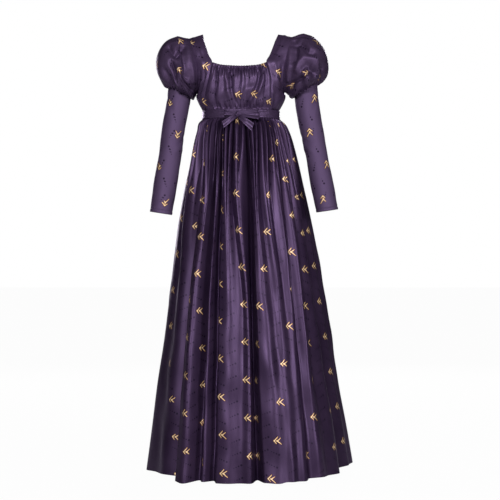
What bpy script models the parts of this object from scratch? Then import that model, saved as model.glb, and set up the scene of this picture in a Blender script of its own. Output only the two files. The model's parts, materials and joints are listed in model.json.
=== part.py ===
"""A regency gown, worn and hollow: high waist, puffed upper sleeves and a long gathered skirt.

Metres, +Z up. The front faces -Y and the wearer's left is +X. The origin lies midway between the
two neck points of the shoulders, where the wearer carries the gown. Heights are written as drops,
measured down from there. Every piece is cloth: a wall laid on a form that is worked out from
sections, with its gathers and folds raised from that form.
"""

import math

import bmesh
import bpy
from mathutils import Vector

# Driving sizes
CLOTH = 0.0018
SKIRT_CLOTH = 0.0024
SEAM = 0.0003
NECK_DROP = 0.112
NECK_CORNER_DROP = 0.098
BAND_TOP = 0.249
BAND_HEIGHT = 0.028
BAND_OUT = 0.0022
HEM_DROP = 1.400
BODY_ROUND = 2.4
SKIRT_ROUND = 2.15
PROBE = 0.002

# Colours and finish of the satin, as linear values
SATIN = (0.060, 0.038, 0.085, 1.0)
SATIN_SHADE = (0.040, 0.025, 0.060, 1.0)
SATIN_ROUGH = 0.38

# The bodice form: drop, half width, depth of the front, depth of the back
BODY = (
    (0.000, 0.150, 0.040, 0.040),
    (0.050, 0.150, 0.074, 0.074),
    (0.095, 0.150, 0.096, 0.094),
    (0.125, 0.149, 0.107, 0.097),
    (0.150, 0.148, 0.115, 0.098),
    (0.175, 0.146, 0.119, 0.098),
    (0.204, 0.1435, 0.118, 0.097),
    (0.222, 0.1375, 0.112, 0.096),
    (0.249, 0.1225, 0.102, 0.094),
    (0.277, 0.1225, 0.101, 0.097),
)

# Inner edge of the shoulder straps: drop, width on the right, width on the left, depth
STRAP_EDGE = (
    (0.003, 0.1216, 0.1186, 0.000),
    (0.026, 0.1170, 0.1085, 0.030),
    (0.046, 0.1106, 0.1015, 0.050),
    (0.066, 0.1040, 0.0947, 0.064),
    (0.085, 0.0980, 0.0860, 0.075),
    (0.098, 0.0905, 0.0800, 0.083),
)

# Seam between the centre front and the side fronts: drop, width on the right, on the left
FRONT_SEAM = (
    (0.098, 0.0905, 0.0800),
    (0.125, 0.0955, 0.0890),
    (0.150, 0.1010, 0.0955),
    (0.175, 0.1080, 0.0965),
    (0.200, 0.1130, 0.0965),
    (0.222, 0.1100, 0.0965),
    (0.249, 0.0990, 0.0940),
)

# The armhole: a slanted ring from the shoulder point to the underarm
ARMHOLE = {
    "right": {"top": (0.168, 0.017), "under": (0.139, 0.188)},
    "left": {"top": (0.166, 0.012), "under": (0.139, 0.186)},
}
ARMHOLE_DEPTH = 0.070
ARMHOLE_BOW = 0.011

# Rows of a side panel: turn of the armhole in degrees, or None and the drop of the side seam;
# then the drop of the inner edge and how far the row swells
SIDE_ROWS = (
    (0, None, 0.003, 0.002),
    (30, None, 0.026, 0.003),
    (55, None, 0.050, 0.005),
    (75, None, 0.075, 0.006),
    (93, None, 0.098, 0.008),
    (115, None, 0.127, 0.008),
    (140, None, 0.156, 0.010),
    (180, None, 0.186, 0.014),
    (None, 0.204, 0.204, 0.014),
    (None, 0.223, 0.223, 0.013),
    (None, 0.249, 0.249, 0.011),
)

# Long folds of the centre front: width from the middle at top, half way and bottom,
# then the height (a trough is negative) and the spread of the fold
FRONT_FOLDS = (
    (-0.076, -0.076, -0.075, -0.0042, 0.0070),
    (-0.060, -0.058, -0.058, 0.0036, 0.0110),
    (-0.044, -0.027, -0.008, 0.0044, 0.0085),
    (-0.030, -0.012, -0.001, -0.0042, 0.0075),
    (0.024, 0.016, 0.006, 0.0036, 0.0080),
    (0.058, 0.036, 0.012, -0.0065, 0.0100),
    (0.050, 0.048, 0.040, 0.0040, 0.0100),
    (0.066, 0.064, 0.060, -0.0038, 0.0070),
)
CENTRE_DROPS = (0.098, 0.110, 0.127, 0.156, 0.186, 0.204, 0.223, 0.236, 0.249)
NECK_PUCKERS = 11
NECK_PUCKER_HEIGHT = 0.0016
WAIST_PUCKERS = 9
BACK_PUCKERS = 7
WAIST_PUCKER_HEIGHT = 0.0026
SEAM_EASE = 8

# Sections of the puffs from the armhole to the arm seam: width and drop of the outer side,
# width and drop of the under side, and the depth
PUFF = {
    "right": (
        (0.203, 0.0100, 0.143, 0.194, 0.089),
        (0.238, 0.0265, 0.1450, 0.2000, 0.103),
        (0.261, 0.0530, 0.1470, 0.2050, 0.108),
        (0.2715, 0.0880, 0.1485, 0.2090, 0.105),
        (0.2690, 0.1220, 0.1505, 0.2115, 0.094),
        (0.2560, 0.1500, 0.1535, 0.2115, 0.076),
        (0.2430, 0.1680, 0.1565, 0.2065, 0.056),
        (0.2315, 0.1670, 0.1590, 0.1990, 0.040),
    ),
    "left": (
        (0.200, 0.0030, 0.145, 0.190, 0.088),
        (0.233, 0.0125, 0.151, 0.197, 0.102),
        (0.257, 0.0360, 0.1540, 0.202, 0.108),
        (0.2725, 0.0650, 0.1570, 0.206, 0.108),
        (0.2785, 0.0990, 0.1600, 0.208, 0.100),
        (0.2770, 0.1290, 0.1630, 0.208, 0.084),
        (0.2620, 0.1530, 0.1665, 0.204, 0.060),
        (0.2440, 0.1585, 0.1715, 0.1960, 0.040),
    ),
}
PUFF_GATHERS = 10
GATHER_TOP = 0.0030
GATHER_END = 0.0032

# Large creases of the puffs: turn round the ring (0 front, 90 outer side), way along,
# height (a hollow is negative), spread in degrees, spread along
PUFF_CREASES = {
    "right": (
        (36, 0.22, -0.010, 16, 0.18),
        (12, 0.62, -0.012, 14, 0.24),
        (-8, 0.55, 0.006, 12, 0.30),
        (48, 0.60, 0.006, 20, 0.24),
        (-26, 0.50, -0.007, 12, 0.30),
        (150, 0.55, -0.010, 15, 0.25),
        (205, 0.40, -0.010, 14, 0.28),
    ),
    "left": (
        (14, 0.25, -0.010, 15, 0.18),
        (34, 0.50, 0.007, 22, 0.14),
        (46, 0.68, -0.009, 20, 0.18),
        (-12, 0.45, 0.006, 11, 0.34),
        (-24, 0.50, -0.006, 11, 0.30),
        (150, 0.50, -0.010, 15, 0.25),
        (205, 0.45, -0.010, 14, 0.28),
    ),
}

# Sections of the lower sleeves from the arm seam to the cuff, in the same order,
# then how far the arm comes forward
LOWER = {
    "right": (
        (0.2315, 0.1676, 0.1590, 0.1996, 0.040, 0.000),
        (0.2390, 0.2250, 0.1650, 0.2360, 0.039, 0.004),
        (0.2530, 0.3090, 0.1805, 0.3200, 0.038, 0.012),
        (0.2650, 0.4050, 0.1925, 0.4160, 0.037, 0.022),
        (0.2800, 0.4950, 0.2065, 0.5060, 0.037, 0.032),
        (0.2896, 0.5710, 0.2190, 0.5820, 0.037, 0.040),
    ),
    "left": (
        (0.2440, 0.1591, 0.1715, 0.1966, 0.040, 0.000),
        (0.2500, 0.2250, 0.1745, 0.2380, 0.039, 0.004),
        (0.2630, 0.3090, 0.1905, 0.3220, 0.038, 0.012),
        (0.2785, 0.4000, 0.2095, 0.4120, 0.037, 0.022),
        (0.2965, 0.4920, 0.2250, 0.5040, 0.037, 0.032),
        (0.3090, 0.5635, 0.2395, 0.5740, 0.037, 0.040),
    ),
}

# The plain bell of the skirt: drop, width right, width left, depth front, depth back
BELL = (
    (0.275, 0.122, 0.124, 0.101, 0.098),
    (0.290, 0.134, 0.138, 0.112, 0.112),
    (0.309, 0.138, 0.147, 0.120, 0.122),
    (0.341, 0.148, 0.157, 0.128, 0.132),
    (0.405, 0.162, 0.173, 0.140, 0.146),
    (0.500, 0.182, 0.195, 0.158, 0.166),
    (0.600, 0.199, 0.215, 0.175, 0.184),
    (0.725, 0.214, 0.237, 0.195, 0.205),
    (0.853, 0.230, 0.257, 0.215, 0.226),
    (0.981, 0.246, 0.280, 0.235, 0.247),
    (1.109, 0.266, 0.301, 0.255, 0.268),
    (1.237, 0.282, 0.328, 0.272, 0.288),
    (1.400, 0.303, 0.354, 0.292, 0.310),
)

# Folds of the skirt in order round it: the turn from the front middle in degrees (left is
# positive) at the waist, the hip, the knee and the hem; the height of the ridge, or of the
# trough, at the hem in millimetres; how far the hem is lifted there in millimetres; and the
# small gathers at the waist before the next line
FOLD_LEVELS = (0.31, 0.506, 0.847, 1.318)
FRONT_LINES = (
    (-90.0, -90.0, -90.0, -90.0, 0, 6, 1),
    (-81.0, -79.0, -72.0, -70.0, -18, 9, 2),
    (-67.5, -65.5, -56.5, -54.5, -6, 10, 2),
    (-52.5, -43.0, -43.0, -41.0, -40, 6, 1),
    (-46.0, -38.0, -39.5, -37.5, 20, -2, 1),
    (-40.5, -30.0, -33.8, -30.5, 36, -6, 2),
    (-29.0, -26.0, -25.5, -24.2, -32, 0, 0),
    (-26.8, -21.2, -22.0, -19.8, 22, 0, 0),
    (-23.8, -19.0, -17.8, -14.8, -30, 0, 0),
    (-20.2, -16.0, -14.0, -12.4, 14, -3, 1),
    (-14.2, -12.0, -7.8, -6.0, 20, -3, 1),
    (-8.2, -8.0, 0.8, -0.5, 10, -3, 1),
    (-1.2, -2.2, 4.2, 4.0, 24, -3, 1),
    (6.5, 8.2, 7.2, 7.8, -52, 0, 0),
    (9.2, 9.8, 9.2, 9.8, 18, -2, 1),
    (14.2, 11.8, 14.8, 17.0, 24, -4, 1),
    (19.8, 15.2, 20.5, 21.2, 4, 0, 1),
    (26.5, 21.0, 25.0, 24.0, 16, 0, 1),
    (32.5, 26.5, 29.8, 27.5, -3, 0, 1),
    (37.0, 34.8, 34.8, 30.5, 14, 0, 1),
    (42.2, 39.8, 39.2, 36.8, -18, 4, 0),
    (45.8, 47.8, 45.2, 43.0, 8, 6, 1),
    (51.0, 56.0, 52.0, 53.8, -20, 6, 1),
    (59.5, 66.0, 65.0, 65.0, -16, 6, 2),
    (74.0, 79.0, 79.0, 79.0, -38, 6, 2),
    (90.0, 90.0, 90.0, 90.0, -44, 8, 1),
)
BACK_LINES = (
    (90.0, 90.0, 90.0, 90.0, -44, 8, 1),
    (97.0, 99.0, 101.0, 102.0, 4, 12, 1),
    (105.0, 110.0, 112.0, 113.0, 44, 14, 1),
    (114.0, 119.0, 122.0, 124.0, -16, 8, 1),
    (124.0, 127.0, 132.0, 134.0, 20, 4, 1),
    (134.0, 137.0, 140.0, 142.0, -24, 2, 1),
    (143.0, 147.0, 150.0, 151.0, 24, 0, 1),
    (152.0, 155.0, 157.0, 158.0, -30, 0, 1),
    (161.0, 163.0, 165.0, 167.0, 26, 0, 1),
    (170.0, 171.0, 172.0, 174.0, -26, 0, 1),
    (179.0, 179.0, 181.0, 183.0, 28, 0, 1),
    (188.0, 188.0, 189.0, 190.0, -32, 0, 1),
    (197.0, 197.0, 198.0, 199.0, 24, 0, 1),
    (206.0, 205.0, 206.0, 206.0, -22, 0, 1),
    (215.0, 213.0, 214.0, 215.0, 26, 0, 1),
    (224.0, 223.0, 223.0, 223.0, -26, 0, 1),
    (234.0, 232.0, 231.0, 231.0, 20, 0, 1),
    (244.0, 242.0, 241.0, 240.0, -22, 0, 1),
    (254.0, 252.0, 251.0, 251.0, 16, 0, 1),
    (262.0, 262.0, 261.0, 261.0, -10, 0, 1),
    (270.0, 270.0, 270.0, 270.0, 0, 0, 1),
)
FOLD_SHARE = ((0.275, 0.05), (0.31, 0.14), (0.405, 0.26), (0.506, 0.38), (0.725, 0.60),
              (0.981, 0.82), (1.237, 0.96), (1.400, 1.0))
GATHER_HEIGHT = ((0.275, 0.0030), (0.290, 0.0055), (0.341, 0.0050), (0.45, 0.0028),
                 (0.60, 0.0012), (0.85, 0.0), (1.400, 0.0))
SKIRT_DROPS = (0.2775, 0.291, 0.316, 0.37, 0.47, 0.61, 0.80, 1.00, 1.20, 1.400)
STEPS_PER_GATHER = 4
STEPS_PER_PLAIN = 2

# The bow, about the knot's middle
KNOT = {"x": -0.0105, "drop": 0.2650, "width": 0.016, "height": 0.021, "depth": 0.015}
LOOPS = {
    # reach and drop of the tip, ribbon at the knot and at the tip, how far the loop opens and leans
    "right": {"tip": (-0.0440, -0.004), "ribbon": (0.010, 0.017), "open": 0.010, "lean": 0.002},
    "left": {"tip": (0.0680, 0.001), "ribbon": (0.012, 0.033), "open": 0.013, "lean": 0.011},
}
TAILS = {
    # start and end of the middle line, ribbon at the knot and at the end, slant of the cut
    "right": {"start": (-0.0056, 0.0080), "end": (-0.0480, 0.0360), "ribbon": (0.010, 0.0145),
              "cut": 0.004},
    "left": {"start": (0.0056, 0.0092), "end": (0.0480, 0.0440), "ribbon": (0.010, 0.0215),
             "cut": -0.004},
}
RIBBON = 0.0012
LOOP_WAVE = 0.0022
TAIL_CLEAR = (0.0075, 0.0310)
TAIL_EASE = 0.6


def table(rows, column, at):
    """A smooth value of one column of a table at a place in its first column."""
    places = [row[0] for row in rows]
    values = [row[column] for row in rows]
    at = min(max(at, places[0]), places[-1])
    k = 0
    while k < len(places) - 2 and at > places[k + 1]:
        k += 1

    def slope(n):
        low, high = max(n - 1, 0), min(n + 1, len(places) - 1)
        return (values[high] - values[low]) / (places[high] - places[low])

    span = places[k + 1] - places[k]
    t = (at - places[k]) / span
    square, cube = t * t, t * t * t
    return ((2 * cube - 3 * square + 1) * values[k] + (cube - 2 * square + t) * span * slope(k)
            + (3 * square - 2 * cube) * values[k + 1] + (cube - square) * span * slope(k + 1))


def mix(a, b, t):
    return a + (b - a) * t


def plain(u, v):
    """No folds of its own."""
    return 0.0


def hump(distance, spread):
    """A soft bell curve for one crease."""
    return math.exp(-(distance / spread) ** 2)


def satin(name, colour):
    material = bpy.data.materials.new(name)
    material.use_nodes = True
    shader = material.node_tree.nodes["Principled BSDF"]
    shader.inputs["Base Color"].default_value = colour
    shader.inputs["Roughness"].default_value = SATIN_ROUGH
    shader.inputs["Metallic"].default_value = 0.0
    return material


def outward(form, u, v):
    """The direction away from the wearer on a form, from its own two directions."""
    across = form(min(u + PROBE, 1), v) - form(max(u - PROBE, 0), v)
    down = form(u, min(v + PROBE, 1)) - form(u, max(v - PROBE, 0))
    return down.cross(across).normalized()


def cloth(name, material, columns, rows, form, raised, ring=False, thickness=CLOTH, facing=outward):
    """A closed wall of cloth: a grid laid on the form, raised by its folds, then thickened."""
    mesh = bmesh.new()
    bmesh.ops.create_grid(mesh, x_segments=columns, y_segments=rows, size=1)
    column_of = mesh.verts.layers.int.new("column")
    row_of = mesh.verts.layers.int.new("row")
    inside = {}
    for vertex in mesh.verts:
        i = round((vertex.co.x + 1) / 2 * columns)
        j = round((vertex.co.y + 1) / 2 * rows)
        if ring:
            i %= columns
        u, v = i / columns, j / rows
        vertex[column_of], vertex[row_of] = i, j
        away = facing(form, u, v)
        vertex.co = form(u, v) + away * raised(u, v)
        inside[i, j] = vertex.co - away * thickness
    if ring:
        bmesh.ops.remove_doubles(mesh, verts=mesh.verts, dist=1e-6)
    made = bmesh.ops.extrude_face_region(mesh, geom=list(mesh.faces))["geom"]
    for vertex in made:
        if isinstance(vertex, bmesh.types.BMVert):
            vertex.co = inside[vertex[column_of], vertex[row_of]]
    bmesh.ops.recalc_face_normals(mesh, faces=mesh.faces)
    return finish(name, material, mesh)


def finish(name, material, mesh):
    """Links the mesh as a named piece in its cloth."""
    data = bpy.data.meshes.new(name)
    mesh.to_mesh(data)
    mesh.free()
    data.shade_smooth()
    data.set_sharp_from_angle(angle=math.radians(50))
    data.materials.append(material)
    piece = bpy.data.objects.new(name, data)
    bpy.context.scene.collection.objects.link(piece)
    return piece


# The bodice

def body_depth(x, drop, back=False):
    """How far the bodice form stands from the middle plane at one width and drop."""
    side = table(BODY, 1, drop)
    depth = table(BODY, 3 if back else 2, drop)
    share = min(abs(x) / side, 1.0)
    return depth * (1 - share ** BODY_ROUND) ** (1 / BODY_ROUND)


def body_away(x, drop, back):
    """The direction away from the wearer on the bodice form."""
    step = 0.001
    across = (body_depth(x + step, drop, back) - body_depth(x - step, drop, back)) / (2 * step)
    down = (body_depth(x, drop + step, back) - body_depth(x, drop - step, back)) / (2 * step)
    return Vector((-across, 1 if back else -1, down)).normalized()


def seam_knot(side, drop, back):
    """A knot of the long seam beside the centre panel, and the direction away there."""
    sign = 1 if side == "left" else -1
    x = sign * table(FRONT_SEAM, 2 if side == "left" else 1, drop)
    y = body_depth(x, drop, back)
    return Vector((x, y if back else -y, -drop)), body_away(x, drop, back)


def seam_state(side, drop, back):
    """The long seam as the side panels have it: straight between their rows."""
    drops = [row[2] for row in SIDE_ROWS if row[2] >= NECK_CORNER_DROP]
    k = 0
    while k < len(drops) - 2 and drop > drops[k + 1]:
        k += 1
    share = (drop - drops[k]) / (drops[k + 1] - drops[k])
    point, away = seam_knot(side, drops[k], back)
    next_point, next_away = seam_knot(side, drops[k + 1], back)
    return point.lerp(next_point, share), away.lerp(next_away, share)


def centre_place(u, v, back):
    """Width and drop on the centre front or back; its top edge follows the neckline."""
    if back:
        u = 1 - u
    count = len(CENTRE_DROPS) - 1
    index = min(int(v * count), count - 1)
    level = mix(CENTRE_DROPS[index], CENTRE_DROPS[index + 1], v * count - index)
    fall = (NECK_DROP - NECK_CORNER_DROP) * (1 - abs(2 * u - 1) ** 3)
    drop = level + fall * (BAND_TOP - level) / (BAND_TOP - NECK_CORNER_DROP)
    left, right = seam_state("left", level, back)[0].x, seam_state("right", level, back)[0].x
    return mix(right + SEAM / 2, left - SEAM / 2, u), drop, level


def centre_form(back):
    """The centre front or back: square neckline above, band below, seams at both sides."""
    def form(u, v):
        x, drop, level = centre_place(u, v, back)
        if u in (0, 1):
            side = "left" if (u == 1) != back else "right"
            point = seam_state(side, level, back)[0]
            point.x = x
        else:
            depth = body_depth(x, drop, back)
            point = Vector((x, depth if back else -depth, -drop))
        if v == 1:
            point.z += SEAM
        return point
    return form


def centre_facing(back):
    """As the bodice form faces, and as the side panels face along the seams."""
    def facing(form, u, v):
        x, drop, level = centre_place(u, v, back)
        if u in (0, 1):
            side = "left" if (u == 1) != back else "right"
            return seam_state(side, level, back)[1]
        return body_away(x, drop, back)
    return facing


def front_raised(u, v):
    """Long folds, neckline puckers and the gathers over the band of the centre front."""
    middle = centre_place(u, v, False)[0]
    edge = min(1.0, SEAM_EASE * min(u, 1 - u))
    folds = 0.0
    for top, half, bottom, high, spread in FRONT_FOLDS:
        line = table(((0, top), (0.5, half), (1, bottom)), 1, v)
        folds += high * hump(middle - line, spread) * min(1, 6 * v, 1.35 - v)
    neck = NECK_PUCKER_HEIGHT * math.cos(2 * math.pi * NECK_PUCKERS * u) * hump(v, 0.16)
    waves = math.cos(2 * math.pi * WAIST_PUCKERS * u + 4 * v)
    waist = WAIST_PUCKER_HEIGHT * waves * hump(1 - v, 0.22)
    return edge * (folds + neck + waist) * mix(1, 0.55, v ** 6)


def back_raised(u, v):
    """Light gathers of the centre back, at the neckline and over the band."""
    edge = min(1.0, SEAM_EASE * min(u, 1 - u))
    waves = math.cos(2 * math.pi * BACK_PUCKERS * u)
    heights = 0.75 * NECK_PUCKER_HEIGHT * hump(v, 0.2) + WAIST_PUCKER_HEIGHT * hump(1 - v, 0.45)
    return edge * waves * heights


def armhole(side, turn, back=False):
    """A point of the armhole: 0 degrees at the shoulder, 180 at the underarm."""
    top, under = ARMHOLE[side]["top"], ARMHOLE[side]["under"]
    reach = (1 + math.cos(turn)) / 2
    x = mix(under[0], top[0], reach) - ARMHOLE_BOW * math.sin(turn) ** 2
    y = ARMHOLE_DEPTH * math.sin(turn)
    sign = 1 if side == "left" else -1
    return Vector((sign * x, y if back else -y, -mix(under[1], top[1], reach)))


def side_edges(side, row, back):
    """The inner and outer ends of one row of a side panel."""
    turn, seam_drop, inner_drop, swell = row
    sign = 1 if side == "left" else -1
    if inner_drop < NECK_CORNER_DROP:
        x = table(STRAP_EDGE, 2 if side == "left" else 1, inner_drop)
        y = table(STRAP_EDGE, 3, inner_drop)
        inner = Vector((sign * x, y if back else -y, -inner_drop))
    else:
        inner = seam_knot(side, inner_drop, back)[0]
    inner.x += sign * SEAM / 2
    if turn is not None:
        outer = armhole(side, math.radians(turn), back)
    else:
        outer = Vector((sign * table(BODY, 1, seam_drop), 0, -seam_drop))
    if seam_drop == BAND_TOP:
        inner.z += SEAM
        outer.z += SEAM
    return inner, outer, swell


def side_share(side, back, u):
    """0 at the inner edge and 1 at the armhole or side seam."""
    return 1 - u if (side == "right") != back else u


def side_form(side, back):
    """A side front or side back with its half of the shoulder strap."""
    ends = [side_edges(side, row, back) for row in SIDE_ROWS]
    places = [index / (len(ends) - 1) for index in range(len(ends))]
    swell_way = Vector((0.35 if side == "left" else -0.35, 1 if back else -1, 0)).normalized()
    parting = Vector((0, SEAM / 2 if back else -SEAM / 2, 0))

    def edge(which, v):
        return Vector([table([(p, *end[which]) for p, end in zip(places, ends)], axis + 1, v)
                       for axis in range(3)])

    def form(u, v):
        t = side_share(side, back, u)
        swell = table([(p, end[2]) for p, end in zip(places, ends)], 1, v)
        point = edge(0, v).lerp(edge(1, v), t) + parting
        return point + swell_way * swell * 4 * t * (1 - t)
    return form


def side_facing(side, back):
    """As on the other pieces, but square to each seam at the shoulder, the side and the middle."""
    underarm = [row[0] for row in SIDE_ROWS].index(180) / (len(SIDE_ROWS) - 1)

    def facing(form, u, v):
        t = side_share(side, back, u)
        drop = SIDE_ROWS[round(v * (len(SIDE_ROWS) - 1))][2]
        if t == 0 and drop >= NECK_CORNER_DROP:
            return seam_knot(side, drop, back)[1]
        away = outward(form, u, v)
        if v == 0 or (t == 1 and v >= underarm - PROBE):
            away.y = 0
            away.normalize()
        return away
    return facing


# The sleeves

def ring_point(side, section, turn):
    """A point of a sleeve section: 0 degrees at the front, 90 at the outer side."""
    outer_x, outer_drop, under_x, under_drop, depth, forward = section
    sign = 1 if side == "left" else -1
    reach = (1 + sign * math.sin(turn)) / 2
    x = mix(under_x, outer_x, reach)
    drop = mix(under_drop, outer_drop, reach)
    return Vector((sign * x, -forward - depth * math.cos(turn), -drop))


def sections_form(side, rows):
    """A sleeve through its sections, from v 0 to 1."""
    count = len(rows) - 1
    numbered = [(index / count, *row) for index, row in enumerate(rows)]

    def form(u, v):
        section = [table(numbered, column, v) for column in range(1, 7)]
        return ring_point(side, section, 2 * math.pi * u)
    return form


def puff_form(side):
    """From the armhole ring over the puff to the arm seam."""
    rows = [(*row, 0.0) for row in PUFF[side]]
    count = len(rows)
    numbered = [((index + 1) / count, *row) for index, row in enumerate(rows)]
    first = 1 / count

    def hole(u):
        turn = 2 * math.pi * u
        sign = 1 if side == "left" else -1
        return armhole(side, math.acos(max(-1.0, min(1.0, sign * math.sin(turn)))),
                       math.cos(turn) < 0)

    def form(u, v):
        turn = 2 * math.pi * u
        start = hole(u)
        start.x += (1 if side == "left" else -1) * SEAM
        if v >= first:
            section = [table(numbered, column, v) for column in range(1, 7)]
            return ring_point(side, section, turn)
        section = [table(numbered, column, first) for column in range(1, 7)]
        return start.lerp(ring_point(side, section, turn), v / first)
    return form


def puff_raised(side):
    """Gathers along both seams of a puff, and its large creases."""
    def raised(u, v):
        turn = 2 * math.pi * u
        gathers = math.cos(PUFF_GATHERS * turn)
        height = gathers * (GATHER_TOP * hump(v - 0.14, 0.14) + GATHER_END * hump(v - 0.88, 0.12))
        for where, along, high, spread, length in PUFF_CREASES[side]:
            if side == "right":
                where = -where
            apart = (math.degrees(turn) - where + 180) % 360 - 180
            height += high * hump(apart, spread) * hump(v - along, length)
        return height * min(1, 8 * v, 8 * (1 - v))
    return raised


# The skirt

def bell(turn, drop):
    """A point of the plain skirt bell; the turn is 0 at the front and grows to the left."""
    across, ahead = math.sin(turn), math.cos(turn)
    width = table(BELL, 2 if across > 0 else 1, drop)
    depth = table(BELL, 3 if ahead > 0 else 4, drop)
    x = width * math.copysign(abs(across) ** (2 / SKIRT_ROUND), across)
    y = -depth * math.copysign(abs(ahead) ** (2 / SKIRT_ROUND), ahead)
    return Vector((x, y, -drop))


def bell_outward(turn, drop):
    """Level and square to the bell."""
    along = bell(turn + 0.02, drop) - bell(turn - 0.02, drop)
    return Vector((along.y, -along.x, 0)).normalized()


def skirt_stations(lines):
    """Places along the fold table, closer where the waist has gathers."""
    stations = []
    for index, line in enumerate(lines[:-1]):
        steps = max(STEPS_PER_PLAIN, STEPS_PER_GATHER * line[6])
        stations += [index + step / steps for step in range(steps)]
    return stations + [len(lines) - 1.0]


def fold_state(lines, station, drop):
    """The turn, fold height, hem lift and gather height at one place of the fold table."""
    index = min(int(station), len(lines) - 2)
    share = station - index
    here, after = lines[index], lines[index + 1]
    turn_here = table(list(zip(FOLD_LEVELS, here[0:4])), 1, drop)
    turn_after = table(list(zip(FOLD_LEVELS, after[0:4])), 1, drop)
    ease = (1 - math.cos(math.pi * share)) / 2
    high = mix(here[4], after[4], ease) / 1000 * table(FOLD_SHARE, 1, drop)
    lift = mix(here[5], after[5], ease) / 1000
    gather = math.sin(2 * math.pi * here[6] * share) * table(GATHER_HEIGHT, 1, drop)
    return math.radians(mix(turn_here, turn_after, share)), high, lift, gather


def skirt_drop(v, lift):
    """The drop at one share of the rows; the lift grows towards the hem."""
    count = len(SKIRT_DROPS) - 1
    index = min(int(v * count), count - 1)
    drop = mix(SKIRT_DROPS[index], SKIRT_DROPS[index + 1], v * count - index)
    return drop - lift * ((drop - BAND_TOP) / (HEM_DROP - BAND_TOP)) ** 3


def skirt(name, material, lines):
    """One gathered width of the skirt, from side seam to side seam."""
    stations = skirt_stations(lines)
    columns = len(stations) - 1
    ends = (lines[0][0], lines[-1][0])

    def state(u, v):
        station = stations[round(u * columns)]
        drop = skirt_drop(v, 0.0)
        turn, high, lift, gather = fold_state(lines, station, drop)
        turn = min(max(turn, math.radians(ends[0])), math.radians(ends[1]))
        return turn, high + gather, skirt_drop(v, lift)

    def form(u, v):
        turn, height, drop = state(u, v)
        point = bell(turn, drop)
        point.y -= SEAM / 2 if ends[0] < 0 else -SEAM / 2
        return point

    def raised(u, v):
        return state(u, v)[1]

    def facing(form, u, v):
        turn, height, drop = state(u, v)
        return bell_outward(turn, drop)

    return cloth(name, material, columns, len(SKIRT_DROPS) - 1, form, raised,
                 thickness=SKIRT_CLOTH, facing=facing)


# The band and the bow

def band_form(u, v):
    """The bodice form at the height of the band."""
    turn = 2 * math.pi * u
    drop = BAND_TOP + SEAM + v * (BAND_HEIGHT - SEAM)
    across, ahead = math.sin(turn), math.cos(turn)
    width = table(BODY, 1, drop)
    depth = table(BODY, 2 if ahead > 0 else 3, drop)
    x = width * math.copysign(abs(across) ** (2 / BODY_ROUND), across)
    y = -depth * math.copysign(abs(ahead) ** (2 / BODY_ROUND), ahead)
    return Vector((x, y, -drop))


def band_raised(u, v):
    return BAND_OUT


def band_front(x, drop):
    """The outer face of the band at one width."""
    return -body_depth(x, drop) - BAND_OUT


def bow_knot(material):
    """A small pinched knot that sits on the band."""
    mesh = bmesh.new()
    bmesh.ops.create_uvsphere(mesh, u_segments=12, v_segments=8, radius=1)
    centre_y = band_front(KNOT["x"], KNOT["drop"]) - SEAM - KNOT["depth"] / 2
    for vertex in mesh.verts:
        x, y, z = vertex.co
        pinch = 1 - 0.16 * hump(z, 0.35)
        vertex.co = Vector((KNOT["x"] + x * pinch * KNOT["width"] / 2,
                            centre_y + y * KNOT["depth"] / 2,
                            -KNOT["drop"] + z * KNOT["height"] / 2))
    return finish("bow_knot", material, mesh)


def bow_loop(side, material):
    """A ribbon that runs out from the knot in front, turns at the tip and comes back behind."""
    loop = LOOPS[side]
    sign = 1 if side == "left" else -1
    tip_x, tip_drop = loop["tip"]
    start = sign * (KNOT["width"] / 2 + 2 * SEAM)
    back_y = band_front(KNOT["x"], KNOT["drop"]) - SEAM - RIBBON

    def form(u, v):
        turn = math.pi * (1 - u) if side == "left" else math.pi * u
        reach = math.sin(turn) ** 0.75
        x = mix(start, tip_x, reach)
        ribbon = mix(loop["ribbon"][0], loop["ribbon"][1], reach ** 0.7)
        y = back_y - loop["open"] * (0.5 + 0.5 * math.cos(turn + math.pi)) * (0.35 + reach)
        y += LOOP_WAVE * math.sin(2 * math.pi * v) * math.sin(turn) - loop["lean"] * v ** 2 * reach
        bend = body_depth(KNOT["x"], KNOT["drop"]) - body_depth(KNOT["x"] + x, KNOT["drop"])
        drop = KNOT["drop"] + tip_drop * reach + (v - 0.5) * ribbon
        return Vector((KNOT["x"] + x, y + bend, -drop))

    return cloth("bow_loop_" + side, material, 14, 2, form, plain, thickness=RIBBON)


def bow_tail(side, material):
    """A ribbon end that hangs slanting from under the knot, clear of the skirt's gathers."""
    tail = TAILS[side]
    (start_x, start_drop), (end_x, end_drop) = tail["start"], tail["end"]
    length = math.hypot(end_x - start_x, end_drop - start_drop)
    along_x, along_drop = (end_x - start_x) / length, (end_drop - start_drop) / length

    def form(u, v):
        aside = (u - 0.5) * mix(tail["ribbon"][0], tail["ribbon"][1], v)
        cut = tail["cut"] * (2 * u - 1) * v * v
        x = mix(start_x, end_x, v) + aside * along_drop + cut * along_x
        drop = mix(start_drop, end_drop, v) - aside * along_x + cut * along_drop
        wave = 0.0012 * math.sin(5 * v) + 0.0015 * math.cos(2 * math.pi * u) * v
        clear = mix(TAIL_CLEAR[0], TAIL_CLEAR[1], v ** TAIL_EASE)
        y = band_front(KNOT["x"] + x, KNOT["drop"]) - clear - wave
        return Vector((KNOT["x"] + x, y, -KNOT["drop"] - drop))

    return cloth("bow_tail_" + side, material, 4, 6, form, plain, thickness=RIBBON)


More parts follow.
